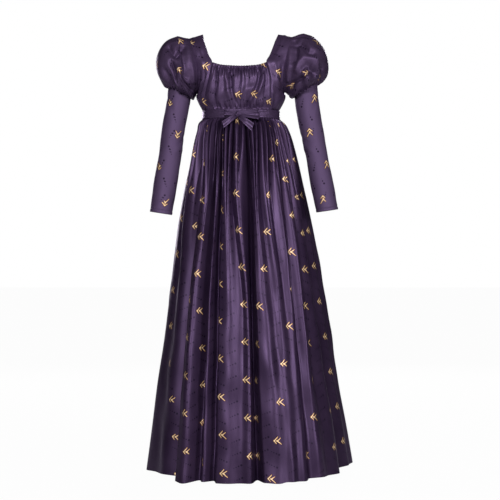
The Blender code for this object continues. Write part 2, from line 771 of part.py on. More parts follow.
def build():
    for old in list(bpy.data.objects):
        bpy.data.objects.remove(old)
    cut = satin("satin", SATIN)
    tie = satin("satin_tie", SATIN_SHADE)

    rows = len(CENTRE_DROPS) - 1
    cloth("bodice_front", cut, 44, rows, centre_form(False), front_raised,
          facing=centre_facing(False))
    cloth("bodice_back", cut, 28, rows, centre_form(True), back_raised,
          facing=centre_facing(True))
    for side in ("right", "left"):
        for back in (False, True):
            name = "bodice_side_" + ("back_" if back else "front_") + side
            cloth(name, cut, 6, len(SIDE_ROWS) - 1, side_form(side, back), plain,
                  facing=side_facing(side, back))
        cloth("sleeve_puff_" + side, cut, 40, len(PUFF[side]), puff_form(side),
              puff_raised(side), ring=True)
        cloth("sleeve_lower_" + side, cut, 24, len(LOWER[side]) - 1,
              sections_form(side, LOWER[side]), plain, ring=True)
    cloth("waist_band", tie, 40, 1, band_form, band_raised, ring=True)
    skirt("skirt_front", cut, FRONT_LINES)
    skirt("skirt_back", cut, BACK_LINES)
    bow_knot(tie)
    for side in ("right", "left"):
        bow_loop(side, tie)
        bow_tail(side, tie)


build()
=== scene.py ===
# %% [markdown]
# # A regency gown, worn and hollow
# The gown is plum satin with a small gold sprig. It hangs from two shoulder straps, is caught in by a
# high band with a tied bow, and falls in deep gathers to the floor. It could be simulated as loose cloth,
# but a photograph shows where every large fold lies, so each piece is laid one by one: a thin wall of
# cloth on a smooth form, raised and sunk by folds that are listed in short tables. The imported solids
# come first, because every piece has to lie where its solid lies.

# %% Load the imported solids
import json
import math

import bmesh
import bpy
import numpy as np
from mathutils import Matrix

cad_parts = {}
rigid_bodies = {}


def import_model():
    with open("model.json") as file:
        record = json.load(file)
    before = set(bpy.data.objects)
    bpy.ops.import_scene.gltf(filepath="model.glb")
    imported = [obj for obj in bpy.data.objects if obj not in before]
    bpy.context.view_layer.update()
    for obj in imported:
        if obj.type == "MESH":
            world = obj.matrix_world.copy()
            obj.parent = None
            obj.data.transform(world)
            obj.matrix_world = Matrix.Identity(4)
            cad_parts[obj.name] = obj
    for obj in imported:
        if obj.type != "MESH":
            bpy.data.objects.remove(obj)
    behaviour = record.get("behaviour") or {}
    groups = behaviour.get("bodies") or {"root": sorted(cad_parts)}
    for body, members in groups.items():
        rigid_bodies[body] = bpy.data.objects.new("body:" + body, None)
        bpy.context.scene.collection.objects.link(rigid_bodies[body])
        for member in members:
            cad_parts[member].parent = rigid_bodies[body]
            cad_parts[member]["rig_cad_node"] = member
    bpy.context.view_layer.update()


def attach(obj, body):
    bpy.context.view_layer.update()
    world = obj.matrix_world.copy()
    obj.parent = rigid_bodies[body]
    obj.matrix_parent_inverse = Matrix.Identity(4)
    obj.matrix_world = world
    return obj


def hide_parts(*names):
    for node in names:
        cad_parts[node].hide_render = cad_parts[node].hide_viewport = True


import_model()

# %% [markdown]
# ## The camera
# A long lens from far away keeps the gown's proportions, as in a catalogue picture. It stands level
# with the thighs and looks straight at the front. It is set first, because the print and the folds are
# judged through it.

# %% Set the camera
CAMERA_PLACE = (0.0288, -6.0, -0.693)
LENS, SENSOR = 135, 36
lens = bpy.data.cameras.new("front_lens")
lens.lens, lens.sensor_width = LENS, SENSOR
camera = bpy.data.objects.new("front_camera", lens)
camera.location = CAMERA_PLACE
camera.rotation_euler = (math.radians(90), 0, 0)
bpy.context.scene.collection.objects.link(camera)
bpy.context.scene.camera = camera
print("camera at", CAMERA_PLACE, "lens", LENS)

# %% [markdown]
# ## Reading the tables
# A pattern cutter writes a form as a few measures at a few heights. `read` draws a smooth curve through
# one column of such a table, for whole arrays of places at once, so thousands of points cost no more
# than one line of code. Straight joins would show as rings around the body.

# %% Smooth values from short tables
def read(rows, column, at):
    """Smooth values of one column of a table, at places in its first column."""
    rows = np.asarray(rows, float)
    places, values = rows[:, 0], rows[:, column]
    at = np.clip(at, places[0], places[-1])
    k = np.clip(np.searchsorted(places, at) - 1, 0, len(places) - 2)
    order = np.arange(len(places))
    low, high = np.maximum(order - 1, 0), np.minimum(order + 1, len(places) - 1)
    slopes = (values[high] - values[low]) / (places[high] - places[low])
    span = places[k + 1] - places[k]
    t = (at - places[k]) / span
    square, cube = t * t, t * t * t
    return ((2 * cube - 3 * square + 1) * values[k] + (cube - 2 * square + t) * span * slopes[k]
            + (3 * square - 2 * cube) * values[k + 1] + (cube - square) * span * slopes[k + 1])


def mix(a, b, t):
    return a + (b - a) * t


def hump(distance, spread):
    """A soft bell curve: 1 at no distance, fading over the spread."""
    return np.exp(-(distance / spread) ** 2)


def within(share, steepness):
    """0 at both ends of a share, rising to 1 just inside them."""
    return np.minimum(1, steepness * np.minimum(share, 1 - share))


def place(x, y, z):
    """Points from three arrays of the same shape."""
    return np.stack(np.broadcast_arrays(x, y, z), axis=-1).astype(float)


def rounded(turn, width, depth, power):
    """X and Y of a rounded ring; the turn is 0 at the front and grows to the wearer's left."""
    across, ahead = np.sin(turn), np.cos(turn)
    x = width * np.sign(across) * np.abs(across) ** (2 / power)
    y = -depth * np.sign(ahead) * np.abs(ahead) ** (2 / power)
    return x, y


print("halfway between 1 and 3:", float(read(((0, 1), (1, 3)), 1, 0.5)))

# %% [markdown]
# ## Laying a wall of cloth
# Each piece starts as Blender's own flat grid. Every vertex of it is moved onto the form, and out or in
# by the height of the folds there. The whole sheet is then extruded inwards by the thickness of the
# cloth. Because both faces are measured from the same form along the same direction, a deep fold can
# never push the inner face through the outer one, which a Solidify modifier can't promise.

# %% One wall of cloth
WALL = 0.0008
SHARP_EDGE = math.radians(75)
PIECES = []


def grid(columns, rows):
    """Shares across and along for every crossing of a grid."""
    return np.meshgrid(np.linspace(0, 1, columns + 1), np.linspace(0, 1, rows + 1))


def away_from(form, ring):
    """The direction away from the wearer at every point of a form."""
    across, down = np.gradient(form, axis=1), np.gradient(form, axis=0)
    if ring:
        across[:, 0] = across[:, -1] = (form[:, 1] - form[:, -2]) / 2
    away = np.cross(down, across)
    return away / np.linalg.norm(away, axis=2, keepdims=True)


def lengths(surface):
    """Length of cloth across and along the piece, up to every point of it."""
    totals = []
    for axis in (1, 0):
        steps = np.linalg.norm(np.diff(surface, axis=axis), axis=2)
        start = np.zeros_like(np.take(steps, [0], axis=axis))
        totals.append(np.cumsum(np.concatenate([start, steps], axis=axis), axis=axis))
    return totals


def lay_cloth(name, form, raised, node, marks=(), ring=False, wall=WALL, away=None):
    """A thin wall on a form: (rows, columns, 3) points and the height of the folds at each."""
    rows, columns = form.shape[0] - 1, form.shape[1] - 1
    if away is None:
        away = away_from(form, ring)
    outer = form + away * raised[..., None]
    inner = (outer - away * wall).reshape(-1, 3)
    across, along = lengths(outer)
    motif = chart_print(across, along, marks)

    mesh = bmesh.new()
    bmesh.ops.create_grid(mesh, x_segments=columns, y_segments=rows, size=1)
    spot = mesh.verts.layers.int.new("spot")
    cloth_map = mesh.loops.layers.uv.new("cloth")
    print_map = mesh.loops.layers.uv.new("print")
    for vertex in mesh.verts:
        i = round((vertex.co.x + 1) / 2 * columns)
        j = round((vertex.co.y + 1) / 2 * rows)
        vertex[spot] = j * (columns + 1) + i
    for face in mesh.faces:
        spots = [divmod(loop.vert[spot], columns + 1) for loop in face.loops]
        top, side = min(j for j, i in spots), min(i for j, i in spots)
        for loop, (j, i) in zip(face.loops, spots):
            loop[cloth_map].uv = (across[j, i], -along[j, i])
            loop[print_map].uv = motif[top, side, j - top, i - side]
    flat = outer.reshape(-1, 3)
    for vertex in mesh.verts:
        vertex.co = flat[vertex[spot]]
    if ring:
        bmesh.ops.remove_doubles(mesh, verts=mesh.verts, dist=1e-6)
    made = bmesh.ops.extrude_face_region(mesh, geom=list(mesh.faces))["geom"]
    for vertex in made:
        if isinstance(vertex, bmesh.types.BMVert):
            vertex.co = inner[vertex[spot]]
    bmesh.ops.recalc_face_normals(mesh, faces=mesh.faces)
    piece = finish_piece(name, mesh, node)
    PIECES.append((piece, float(across[:, -1].mean()), float(along[-1].mean())))
    return piece


def finish_piece(name, mesh, node):
    """Links a mesh as a named piece that stands for its solid."""
    data = bpy.data.meshes.new(name)
    mesh.to_mesh(data)
    mesh.free()
    data.shade_smooth()
    data.set_sharp_from_angle(angle=SHARP_EDGE)
    piece = bpy.data.objects.new(name, data)
    bpy.context.scene.collection.objects.link(piece)
    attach(piece, "root")
    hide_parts(node)
    print(name, len(data.polygons), "faces")
    return piece


# %% [markdown]
# ## Where the print falls
# The satin carries a sparse print: a gold sprig in columns with a half drop, and short sprays of dark
# dots between. A real print is on the flat cloth and goes into the folds with it. So every motif is
# placed by its cloth, and each face of the piece learns how far along the cloth it lies from its
# nearest motif. The material then only has to draw one motif. A repeat worked out in the material
# would stretch over the folds.

# %% Chart the motifs on the cloth
SPRIG, SPRAY_DOWN, SPRAY_UP = 0, 1, 2
COLUMN_APART, REPEAT = 0.104, 0.1145
# how far each motif reaches from its centre, and the value of a face that has none
SPRIG_REACH, SPRAY_REACH, NO_MOTIF = 0.021, 0.024, 9.5


def chart_print(across, along, marks):
    """Distances from the nearest motif at the four corners of every face."""
    rows, columns = across.shape
    motif = np.full((rows - 1, columns - 1, 2, 2, 2), NO_MOTIF)
    nearest = np.full((rows - 1, columns - 1), 1.0)
    for column, row, kind, turn in marks:
        i, j = int(np.clip(column, 0, columns - 2)), int(np.clip(row, 0, rows - 2))
        here = mix(across[:, i], across[:, i + 1], column - i)
        level = mix(along[j], along[j + 1], row - j)
        reach = SPRIG_REACH if kind == SPRIG else SPRAY_REACH
        is_near_row = np.abs(along[:, i] - level[i]) < reach
        is_near_column = np.abs(across[j] - here[j]) < 2 * reach
        js, side = np.flatnonzero(is_near_row), np.flatnonzero(is_near_column)
        if len(js) < 2 or len(side) < 2:
            continue
        window = np.s_[js[0]:js[-1] + 1, side[0]:side[-1] + 1]
        x = across[window] - here[js[0]:js[-1] + 1, None]
        y = level[None, side[0]:side[-1] + 1] - along[window]
        cos, sin = math.cos(turn), math.sin(turn)
        local = np.stack([x * cos + y * sin, y * cos - x * sin], axis=-1)
        corners = np.stack([np.stack([local[:-1, :-1], local[:-1, 1:]], axis=2),
                            np.stack([local[1:, :-1], local[1:, 1:]], axis=2)], axis=2)
        distance = np.linalg.norm(corners.mean(axis=(2, 3)), axis=-1) / reach
        faces = np.s_[js[0]:js[-1], side[0]:side[-1]]
        closer = distance < nearest[faces]
        corners[..., 0] += kind
        motif[faces][closer] = corners[closer]
        nearest[faces][closer] = distance[closer]
    return motif


print("motif reach", SPRIG_REACH, SPRAY_REACH)

# %% [markdown]
# ## Creases placed along lines
# Satin creases in soft troughs and ridges that run across a piece and fade out. Each is a line of
# points in shares across and along the piece, with a height in metres (a trough is negative) and a
# spread. A noise texture would crease the cloth everywhere alike, and real creases start at a seam, an
# elbow or a gather.

# %% Soft creases along lines
CRUMPLE_WAVES = 8


def creases(u, v, width, length, lines):
    """The summed height of soft creases on a piece of about that width and length."""
    height = np.zeros_like(u)
    x, y = u * width, v * length
    for line, high, spread in lines:
        nearest = np.full_like(u, np.inf)
        for (u0, v0), (u1, v1) in zip(line, line[1:]):
            x0, y0 = u0 * width, v0 * length
            dx, dy = u1 * width - x0, v1 * length - y0
            t = np.clip(((x - x0) * dx + (y - y0) * dy) / (dx * dx + dy * dy), 0, 1)
            nearest = np.minimum(nearest, np.hypot(x - x0 - dx * t, y - y0 - dy * t))
        height += high * hump(nearest, spread)
    return height


def mirrored(lines):
    """The same creases on the other half of a piece."""
    return tuple((tuple((1 - u, v) for u, v in line), high, spread) for line, high, spread in lines)


def crumple(x, y, shortest, seed):
    """Soft dents that lie every way, about -1 to 1, at places in metres."""
    draw = np.random.default_rng(seed)
    total = np.zeros(np.broadcast(x, y).shape)
    for _ in range(CRUMPLE_WAVES):
        lean = draw.uniform(-1.1, 1.1)
        wave = shortest * draw.uniform(1, 2.6)
        phase = draw.uniform(0, 6.28)
        total += np.sin(2 * np.pi * (x * math.sin(lean) + y * math.cos(lean)) / wave + phase)
    return total / (CRUMPLE_WAVES / 2)


LEVEL_CREASE = ((((0, 0), (1, 0)), 0.004, 0.01),)
print("crease height on its line:", creases(np.zeros(1), np.zeros(1), 1, 1, LEVEL_CREASE))

# %% [markdown]
# ## The bodice form
# Under the folds, the bodice is one smooth ring that narrows from the bust to the band. Its half width
# and its two depths are given at a few drops below the shoulders. The neckline is square: two straps
# and a gathered front edge that dips a little in the middle.

# %% Measures of the bodice
BODY_ROUND = 2.4
BAND_TOP, BAND_HEIGHT = 0.249, 0.028
NECK_CORNER, NECK_FALL = 0.098, 0.014
# drop, half width, depth of the front, depth of the back
BODY = (
    (0.000, 0.150, 0.040, 0.040), (0.050, 0.150, 0.074, 0.074), (0.095, 0.150, 0.096, 0.094),
    (0.125, 0.149, 0.107, 0.097), (0.150, 0.148, 0.115, 0.098), (0.175, 0.146, 0.119, 0.098),
    (0.204, 0.1435, 0.118, 0.097), (0.222, 0.1375, 0.112, 0.096), (0.249, 0.1225, 0.102, 0.094),
    (0.277, 0.1225, 0.101, 0.097),
)
# inner edge of the straps: drop, width on the right, width on the left, depth
STRAP_EDGE = (
    (0.003, 0.1216, 0.1186, 0.000), (0.026, 0.1170, 0.1085, 0.030), (0.046, 0.1106, 0.1015, 0.050),
    (0.066, 0.1040, 0.0947, 0.064), (0.085, 0.0980, 0.0860, 0.075), (0.098, 0.0905, 0.0800, 0.083),
)
# seam beside the gathered centre: drop, width on the right, width on the left
LONG_SEAM = (
    (0.098, 0.0905, 0.0800), (0.125, 0.0955, 0.0890), (0.150, 0.1010, 0.0955),
    (0.175, 0.1080, 0.0965), (0.200, 0.1130, 0.0965), (0.222, 0.1100, 0.0965),
    (0.249, 0.0990, 0.0940),
)


def body_depth(x, drop, back=False):
    """How far the form stands from the middle plane."""
    side = read(BODY, 1, drop)
    share = np.minimum(np.abs(x) / side, 1)
    return read(BODY, 3 if back else 2, drop) * (1 - share ** BODY_ROUND) ** (1 / BODY_ROUND)


def seam_width(side, drop):
    return read(LONG_SEAM, 2 if side == "left" else 1, drop)


print("depth at the bust:", float(body_depth(0.0, 0.175)))

# %% [markdown]
# ## The centre front
# The centre front is a wide strip, gathered into a narrow casing at the neck and again into the band.
# Between the two it puffs out over the bust in long soft folds. The large folds are those of the
# photograph; the small puckers at both ends are uneven on purpose, because a gathering thread never
# spaces them alike.

# %% Folds of the centre front
FRONT_COLUMNS, CENTRE_ROWS, BACK_COLUMNS = 168, 84, 110
CASING = 0.011
EDGE_ROLL = 0.0022
SEAM_SINK, SEAM_LAP = 0.0036, 0.003
PANEL_END = BAND_TOP + 0.006
# width and length over which the folds are spread, and the width at the band
CENTRE_SIZE, WIDTH_AT_BAND = (0.20, 0.15), 0.19
# share across at top, half way and bottom, then height and spread
FRONT_FOLDS = (
    (0.050, 0.060, 0.060, 0.0050, 0.0090), (0.100, 0.150, 0.138, -0.0085, 0.0040),
    (0.140, 0.210, 0.200, 0.0055, 0.0080), (0.220, 0.330, 0.430, 0.0065, 0.0075),
    (0.300, 0.385, 0.505, -0.0080, 0.0055), (0.430, 0.440, 0.460, 0.0040, 0.0080),
    (0.524, 0.516, 0.512, -0.0044, 0.0022), (0.600, 0.610, 0.560, 0.0055, 0.0085),
    (0.860, 0.765, 0.600, -0.0110, 0.0065), (0.900, 0.815, 0.680, 0.0065, 0.0075),
    (0.930, 0.900, 0.880, -0.0046, 0.0045), (0.965, 0.960, 0.955, 0.0034, 0.0060),
)
# place across, depth, spread and reach upwards of the gathers over the band
FRONT_POCKETS = (
    (0.06, 0.0036, 0.0040, 0.18), (0.13, 0.0040, 0.0040, 0.14), (0.19, 0.0066, 0.0045, 0.22),
    (0.27, 0.0072, 0.0050, 0.20), (0.34, 0.0042, 0.0035, 0.14), (0.42, 0.0078, 0.0050, 0.26),
    (0.50, 0.0040, 0.0035, 0.16), (0.57, 0.0060, 0.0042, 0.20), (0.64, 0.0080, 0.0055, 0.32),
    (0.71, 0.0050, 0.0038, 0.18), (0.78, 0.0072, 0.0045, 0.30), (0.86, 0.0044, 0.0042, 0.16),
    (0.93, 0.0040, 0.0040, 0.20),
)
POCKET_DEEPER = 1.3
print("folds over the bust", len(FRONT_FOLDS), "gathers over the band", len(FRONT_POCKETS))

# %% [markdown]
# ## The form of the centre panels
# The back is laid like the front, only plainer. Both dip under the side panels at their long seams and
# end inside the band, as a seam allowance does. Panels that only met edge to edge would let light
# through.

# %% Shape the centre panels
def centre_form(columns, back):
    """The centre front or back, and its shares across and along."""
    u, v = grid(columns, CENTRE_ROWS)
    run = 1 - u if back else u
    level = mix(NECK_CORNER, PANEL_END, v)
    drop = level + NECK_FALL * (1 - np.abs(2 * u - 1) ** 3) * (1 - v)
    x = mix(-seam_width("right", level) - SEAM_LAP, seam_width("left", level) + SEAM_LAP, run)
    depth = body_depth(x, drop, back)
    return u, v, place(x, depth if back else -depth, -drop)


def edge_turn(share, width, roll=EDGE_ROLL):
    """A cut edge turned under: the cloth rolls inwards over the last millimetres."""
    near = np.clip(1 - share * width / roll, 0, 1)
    return -roll * 0.7 * near ** 2


def puckers(u, count, seed, drift=0.0):
    """Uneven gathers across a piece, between -1 and 1."""
    draw = np.random.default_rng(seed)
    strength = 0.45 + 0.75 * draw.random(count + 2)
    shift = 0.30 * (draw.random(count + 2) - 0.5)
    at = u * count + drift
    k = np.clip(np.floor(at).astype(int), 0, count)
    wave = np.cos(2 * np.pi * (at + mix(shift[k], shift[k + 1], at - np.floor(at))))
    return wave * mix(strength[k], strength[k + 1], at - np.floor(at))


def held_flat(v):
    """0 under the band and 1 just above it, where the gathers start."""
    return np.clip((BAND_TOP - mix(NECK_CORNER, PANEL_END, v)) / 0.004, 0, 1)


def seam_sink(u):
    """The centre panels dip under the side panels at both long seams."""
    width = CENTRE_SIZE[0]
    return SEAM_SINK * (hump(u * width, 0.004) + hump((1 - u) * width, 0.004))


def front_height(u, v):
    """Folds, puckers, casing and pockets of the centre front."""
    width, length = CENTRE_SIZE
    height = 0.0016 * crumple(u * width, v * length, 0.022, 41)
    for top, half, bottom, high, spread in FRONT_FOLDS:
        line = read(((0, top), (0.5, half), (1, bottom)), 1, v)
        ends = np.minimum(1, np.minimum(6 * v, 1.35 - v))
        height += high * hump((u - line) * width, spread) * ends
    below = v * (BAND_TOP - NECK_CORNER)
    neck = puckers(u, 22, 4, 0.3 * v) * np.minimum(1, below / CASING) ** 2
    height += 0.0038 * neck * hump(np.maximum(below - CASING, 0), 0.019)
    height += 0.0012 * puckers(u, 22, 4) * hump(below, 0.010) - 0.0018 * hump(below - CASING, 0.0014)
    for across, deep, spread, reach in FRONT_POCKETS:
        pocket = hump((u - across) * WIDTH_AT_BAND, spread) * hump(1 - v, 0.75 * reach)
        height -= POCKET_DEEPER * deep * pocket
    height += 0.0016 * puckers(u, 30, 9, 0.4 * v) * hump(1 - v, 0.10)
    return within(u, 12) * height * held_flat(v) + edge_turn(v, length) - seam_sink(u)


def back_height(u, v):
    """Even, shallow gathers of the centre back."""
    width, length = CENTRE_SIZE
    below = v * (BAND_TOP - NECK_CORNER)
    height = 0.0013 * puckers(u, 17, 21, 0.2 * v) * hump(np.maximum(below - CASING, 0), 0.035)
    height += 0.0026 * puckers(u, 13, 8, 0.2 * v) * hump(1 - v, 0.45)
    height += 0.0014 * puckers(u, 26, 5) * hump(1 - v, 0.12) - 0.0014 * hump(below - CASING, 0.0014)
    height += 0.0012 * crumple(u * width, v * length, 0.025, 44)
    return within(u, 10) * height * held_flat(v) + edge_turn(v, length) - seam_sink(u)


print("the panels end at a drop of", PANEL_END)

# %% [markdown]
# ## The repeat of the print
# On a small piece each sprig is listed where it shows. On the rest, sprigs and sprays follow the repeat
# in metres of cloth. Where the cloth is cut across the grain, as on the sleeves, the repeat is turned
# with it.

# %% Chart the repeat
def sprig_at(u, v, shares, turn):
    """Marks for single sprigs at given shares across and along a piece."""
    columns, rows = np.arange(len(u[0])), np.arange(len(v))
    return [(np.interp(a, u[0], columns), np.interp(b, v[:, 0], rows), SPRIG, turn)
            for a, b in shares]


def half_drop(form, first, sideways=None, sprigs=True):
    """The even repeat on a piece: sprigs in a half drop, sprays between them, all in metres."""
    across, along = lengths(form)
    middle = across[len(across) // 2]
    marks = []
    for column in range(-12, 13):
        for row in range(-18, 19):
            x = column * COLUMN_APART / 2
            y = row * REPEAT / 3 + (REPEAT / 6 if column % 2 else (column // 2 % 2) * REPEAT / 2)
            if sideways is not None:
                x, y = y, x
            x, y = first[0] + x, first[1] + y
            i = np.interp(x, middle, np.arange(len(middle)))
            length = along[:, int(i)]
            if not (0 < x < middle[-1] and 0 < y < length[-1]):
                continue
            kind = SPRAY_UP if column % 2 else SPRAY_DOWN if row % 3 else SPRIG
            if kind != SPRIG or sprigs:
                marks.append((i, np.interp(y, length, np.arange(len(length))), kind, sideways or 0.0))
    return marks


print("motifs lie", round(REPEAT / 3, 4), "apart in a column")

# %% [markdown]
# ## Laying the centre panels
# With its form, its folds and its marks known, a panel is laid in one call. The sprigs lean a little,
# because the cloth of a bodice is cut to fit and not hung straight.

# %% Lay the centre front and the centre back
SPRIG_LEAN = -0.3
FRONT_SPRIGS = ((0.925, 0.012), (0.506, 0.655), (0.738, 0.643), (0.960, 0.810))
u, v, form = centre_form(FRONT_COLUMNS, False)
marks = sprig_at(u, v, FRONT_SPRIGS, SPRIG_LEAN) + half_drop(form, (0.03, 0.02), sprigs=False)
lay_cloth("centre_front", form, front_height(u, v), "bodice_front", marks)
u, v, form = centre_form(BACK_COLUMNS, True)
marks = half_drop(form, (0.05, 0.04))
lay_cloth("centre_back", form, back_height(u, v), "bodice_back", marks)

# %% [markdown]
# ## Side fronts, side backs and straps
# Each side panel runs from its half of the shoulder strap, past the armhole, down to the band. Its
# inner edge meets the centre panel, and its outer edge follows the slanted ring of the armhole and then
# the side seam. The edges are laid first as two smooth curves, and the cloth swells a little between
# them.

# %% Measures of the side panels
ARMHOLE = {"right": ((0.168, 0.017), (0.139, 0.188)), "left": ((0.166, 0.012), (0.139, 0.186))}
ARMHOLE_DEPTH, ARMHOLE_BOW = 0.070, 0.011
SIDE_COLUMNS, SIDE_ROWS = 36, 100
SIDE_SIZE = (0.07, 0.25)
HEM_ROLL = 0.0016
# turn of the armhole in degrees or -1, drop of the side seam, drop of the inner edge, swell
SIDE_LEVELS = (
    (0, 0, 0.003, 0.002), (30, 0, 0.026, 0.003), (55, 0, 0.050, 0.005), (75, 0, 0.075, 0.006),
    (93, 0, 0.098, 0.008), (115, 0, 0.127, 0.008), (140, 0, 0.156, 0.010), (180, 0, 0.186, 0.014),
    (-1, 0.204, 0.204, 0.014), (-1, 0.223, 0.223, 0.013), (-1, 0.249, 0.249, 0.002),
    (-1, 0.255, 0.255, 0.000),
)
NECK_SHARE = 4 / (len(SIDE_LEVELS) - 1)
SIDE_CREASES = {
    "front_right": ((((0.50, 0.00), (0.62, 0.30), (0.55, 0.52)), -0.0016, 0.006),
                    (((0.25, 0.45), (0.20, 0.75), (0.30, 1.00)), -0.0026, 0.006),
                    (((0.45, 0.55), (0.38, 0.80), (0.45, 1.00)), 0.0030, 0.008),
                    (((0.66, 0.48), (0.56, 0.75), (0.62, 1.00)), -0.0042, 0.005),
                    (((0.84, 0.50), (0.78, 0.75), (0.80, 0.98)), 0.0032, 0.006)),
    "front_left": ((((0.45, 0.00), (0.38, 0.30), (0.45, 0.52)), 0.0018, 0.007),
                   (((0.80, 0.40), (0.70, 0.70), (0.60, 1.00)), -0.0024, 0.006),
                   (((0.40, 0.55), (0.45, 0.80), (0.40, 1.00)), 0.0022, 0.010),
                   (((0.20, 0.72), (0.22, 1.00)), -0.0020, 0.006)),
    "back_right": ((((0.40, 0.50), (0.45, 1.00)), -0.0018, 0.008),),
}
SIDE_CREASES["back_left"] = mirrored(SIDE_CREASES["back_right"])
print("levels of a side panel", len(SIDE_LEVELS))

# %% [markdown]
# ## The form of the side panels
# The two edges are smooth curves through listed points, and every row of the panel runs from one to the
# other. One function shapes all four panels, so they meet at the side seams and the shoulders.

# %% Shape the side panels
def armhole(side, turn, back):
    """Points of the armhole: turn 0 at the shoulder, half a turn at the underarm."""
    (top_x, top_drop), (under_x, under_drop) = ARMHOLE[side]
    reach = (1 + np.cos(turn)) / 2
    x = mix(under_x, top_x, reach) - ARMHOLE_BOW * np.sin(turn) ** 2
    y = ARMHOLE_DEPTH * np.sin(turn)
    return place(x if side == "left" else -x, np.where(back, y, -y), -mix(under_drop, top_drop, reach))


def side_knots(side, back):
    """Inner and outer ends of the listed levels."""
    sign = 1 if side == "left" else -1
    inner, outer = [], []
    for turn, seam_drop, inner_drop, swell in SIDE_LEVELS:
        if inner_drop < NECK_CORNER:
            x = read(STRAP_EDGE, 2 if side == "left" else 1, inner_drop)
            y = read(STRAP_EDGE, 3, inner_drop)
        else:
            x = seam_width(side, inner_drop)
            y = body_depth(x, inner_drop, back)
        inner.append((sign * x, y if back else -y, -inner_drop))
        if turn >= 0:
            outer.append(armhole(side, math.radians(turn), back))
        else:
            outer.append((sign * read(BODY, 1, seam_drop), 0, -seam_drop))
    return np.array(inner), np.array(outer)


def side_panel(side, back):
    """The form of one side panel, with shares across and along."""
    inner, outer = side_knots(side, back)
    places = np.linspace(0, 1, len(inner))
    u, v = grid(SIDE_COLUMNS, SIDE_ROWS)
    t = 1 - u if (side == "right") != back else u
    edges = []
    for knots in (inner, outer):
        rows = np.column_stack([places, knots])
        edges.append(place(*(read(rows, axis + 1, v) for axis in range(3))))
    swell = read(np.column_stack([places, [row[3] for row in SIDE_LEVELS]]), 1, v)
    way = np.array((0.35 if side == "left" else -0.35, 1 if back else -1, 0))
    form = mix(edges[0], edges[1], t[..., None])
    form += (way / np.linalg.norm(way)) * (swell * 4 * t * (1 - t))[..., None]
    return u, v, t, form


def side_height(u, v, t, lines):
    """Creases, turned edges and the gathers over the band of a side panel."""
    width, length = SIDE_SIZE
    height = creases(u, v, width, length, lines)
    height += 0.0010 * crumple(u * width, v * length, 0.025, 42)
    height *= within(u, 8)
    at_neck = v < NECK_SHARE
    height += edge_turn(t, width) * at_neck + edge_turn(1 - t, width, HEM_ROLL)
    height -= 0.0016 * hump(t * width, 0.0030) * ~at_neck
    return height + 0.0014 * puckers(u, 9, 31) * hump(0.93 - v, 0.05) * within(u, 8)


print("the neck ends at a share of", round(NECK_SHARE, 3))

# %% [markdown]
# ## Laying the side panels
# The same calls lay all four. Only the creases and the sprigs are listed for each panel, because the
# two arms pull at the bodice differently.

# %% Lay the four side panels
SIDE_SPRIGS = {
    "front_right": ((0.083, 0.118), (0.667, 0.40), (0.80, 0.82)), "front_left": ((0.583, 0.455),),
    "back_right": ((0.50, 0.27), (0.40, 0.73)), "back_left": ((0.50, 0.36), (0.60, 0.82)),
}
for side in ("right", "left"):
    for back in (False, True):
        key = ("back_" if back else "front_") + side
        u, v, t, form = side_panel(side, back)
        height = side_height(u, v, t, SIDE_CREASES[key])
        marks = sprig_at(u, v, SIDE_SPRIGS[key], SPRIG_LEAN)
        marks += half_drop(form, (0.02, 0.03), sprigs=False)
        lay_cloth("side_" + key, form, height, "bodice_side_" + key, marks)

# %% [markdown]
# ## The puffs
# A puff is a wide, short sleeve gathered into the armhole above and into the fitted sleeve below. It is
# laid as a ring around the arm: sections from the armhole to the arm seam, each with its outer side, its
# under side and its depth. The gathers are strongest at the two seams. The large creases between them are
# listed one by one, as they differ on the two arms.

# %% Measures of the puffs
PUFF_COLUMNS, PUFF_ROWS = 216, 88
SEAM_ALLOWANCE = 0.005
SIDEWAYS = {"right": math.pi / 2, "left": -math.pi / 2}
PUFF_TURN = {"right": 0.3, "left": math.pi - 0.3}
# width and drop of the outer side, width and drop of the under side, depth
PUFF = {
    "right": (
        (0.203, 0.0100, 0.143, 0.194, 0.089), (0.238, 0.0265, 0.1450, 0.2000, 0.103),
        (0.261, 0.0530, 0.1470, 0.2050, 0.108), (0.2715, 0.0880, 0.1485, 0.2090, 0.105),
        (0.2690, 0.1220, 0.1505, 0.2115, 0.094), (0.2560, 0.1500, 0.1535, 0.2115, 0.076),
        (0.2430, 0.1680, 0.1565, 0.2065, 0.056), (0.2315, 0.1670, 0.1590, 0.1990, 0.040),
    ),
    "left": (
        (0.200, 0.0030, 0.145, 0.190, 0.088), (0.233, 0.0125, 0.151, 0.197, 0.102),
        (0.257, 0.0360, 0.1540, 0.202, 0.108), (0.2725, 0.0650, 0.1570, 0.206, 0.108),
        (0.2785, 0.0990, 0.1600, 0.208, 0.100), (0.2770, 0.1290, 0.1630, 0.208, 0.084),
        (0.2620, 0.1530, 0.1665, 0.204, 0.060), (0.2440, 0.1585, 0.1715, 0.1960, 0.040),
    ),
}
PUFF_SIZE, PUFF_RADIUS = (0.56, 0.22), 0.09
TROUGH_DEEPER = 1.4
print("sections of a puff", len(PUFF["right"]))

# %% [markdown]
# ## The creases of the puffs
# Broad swells give each puff its uneven bulk, and sharper creases lie over them. Both follow the folds
# that show at the front, and two plain swells shape the back.

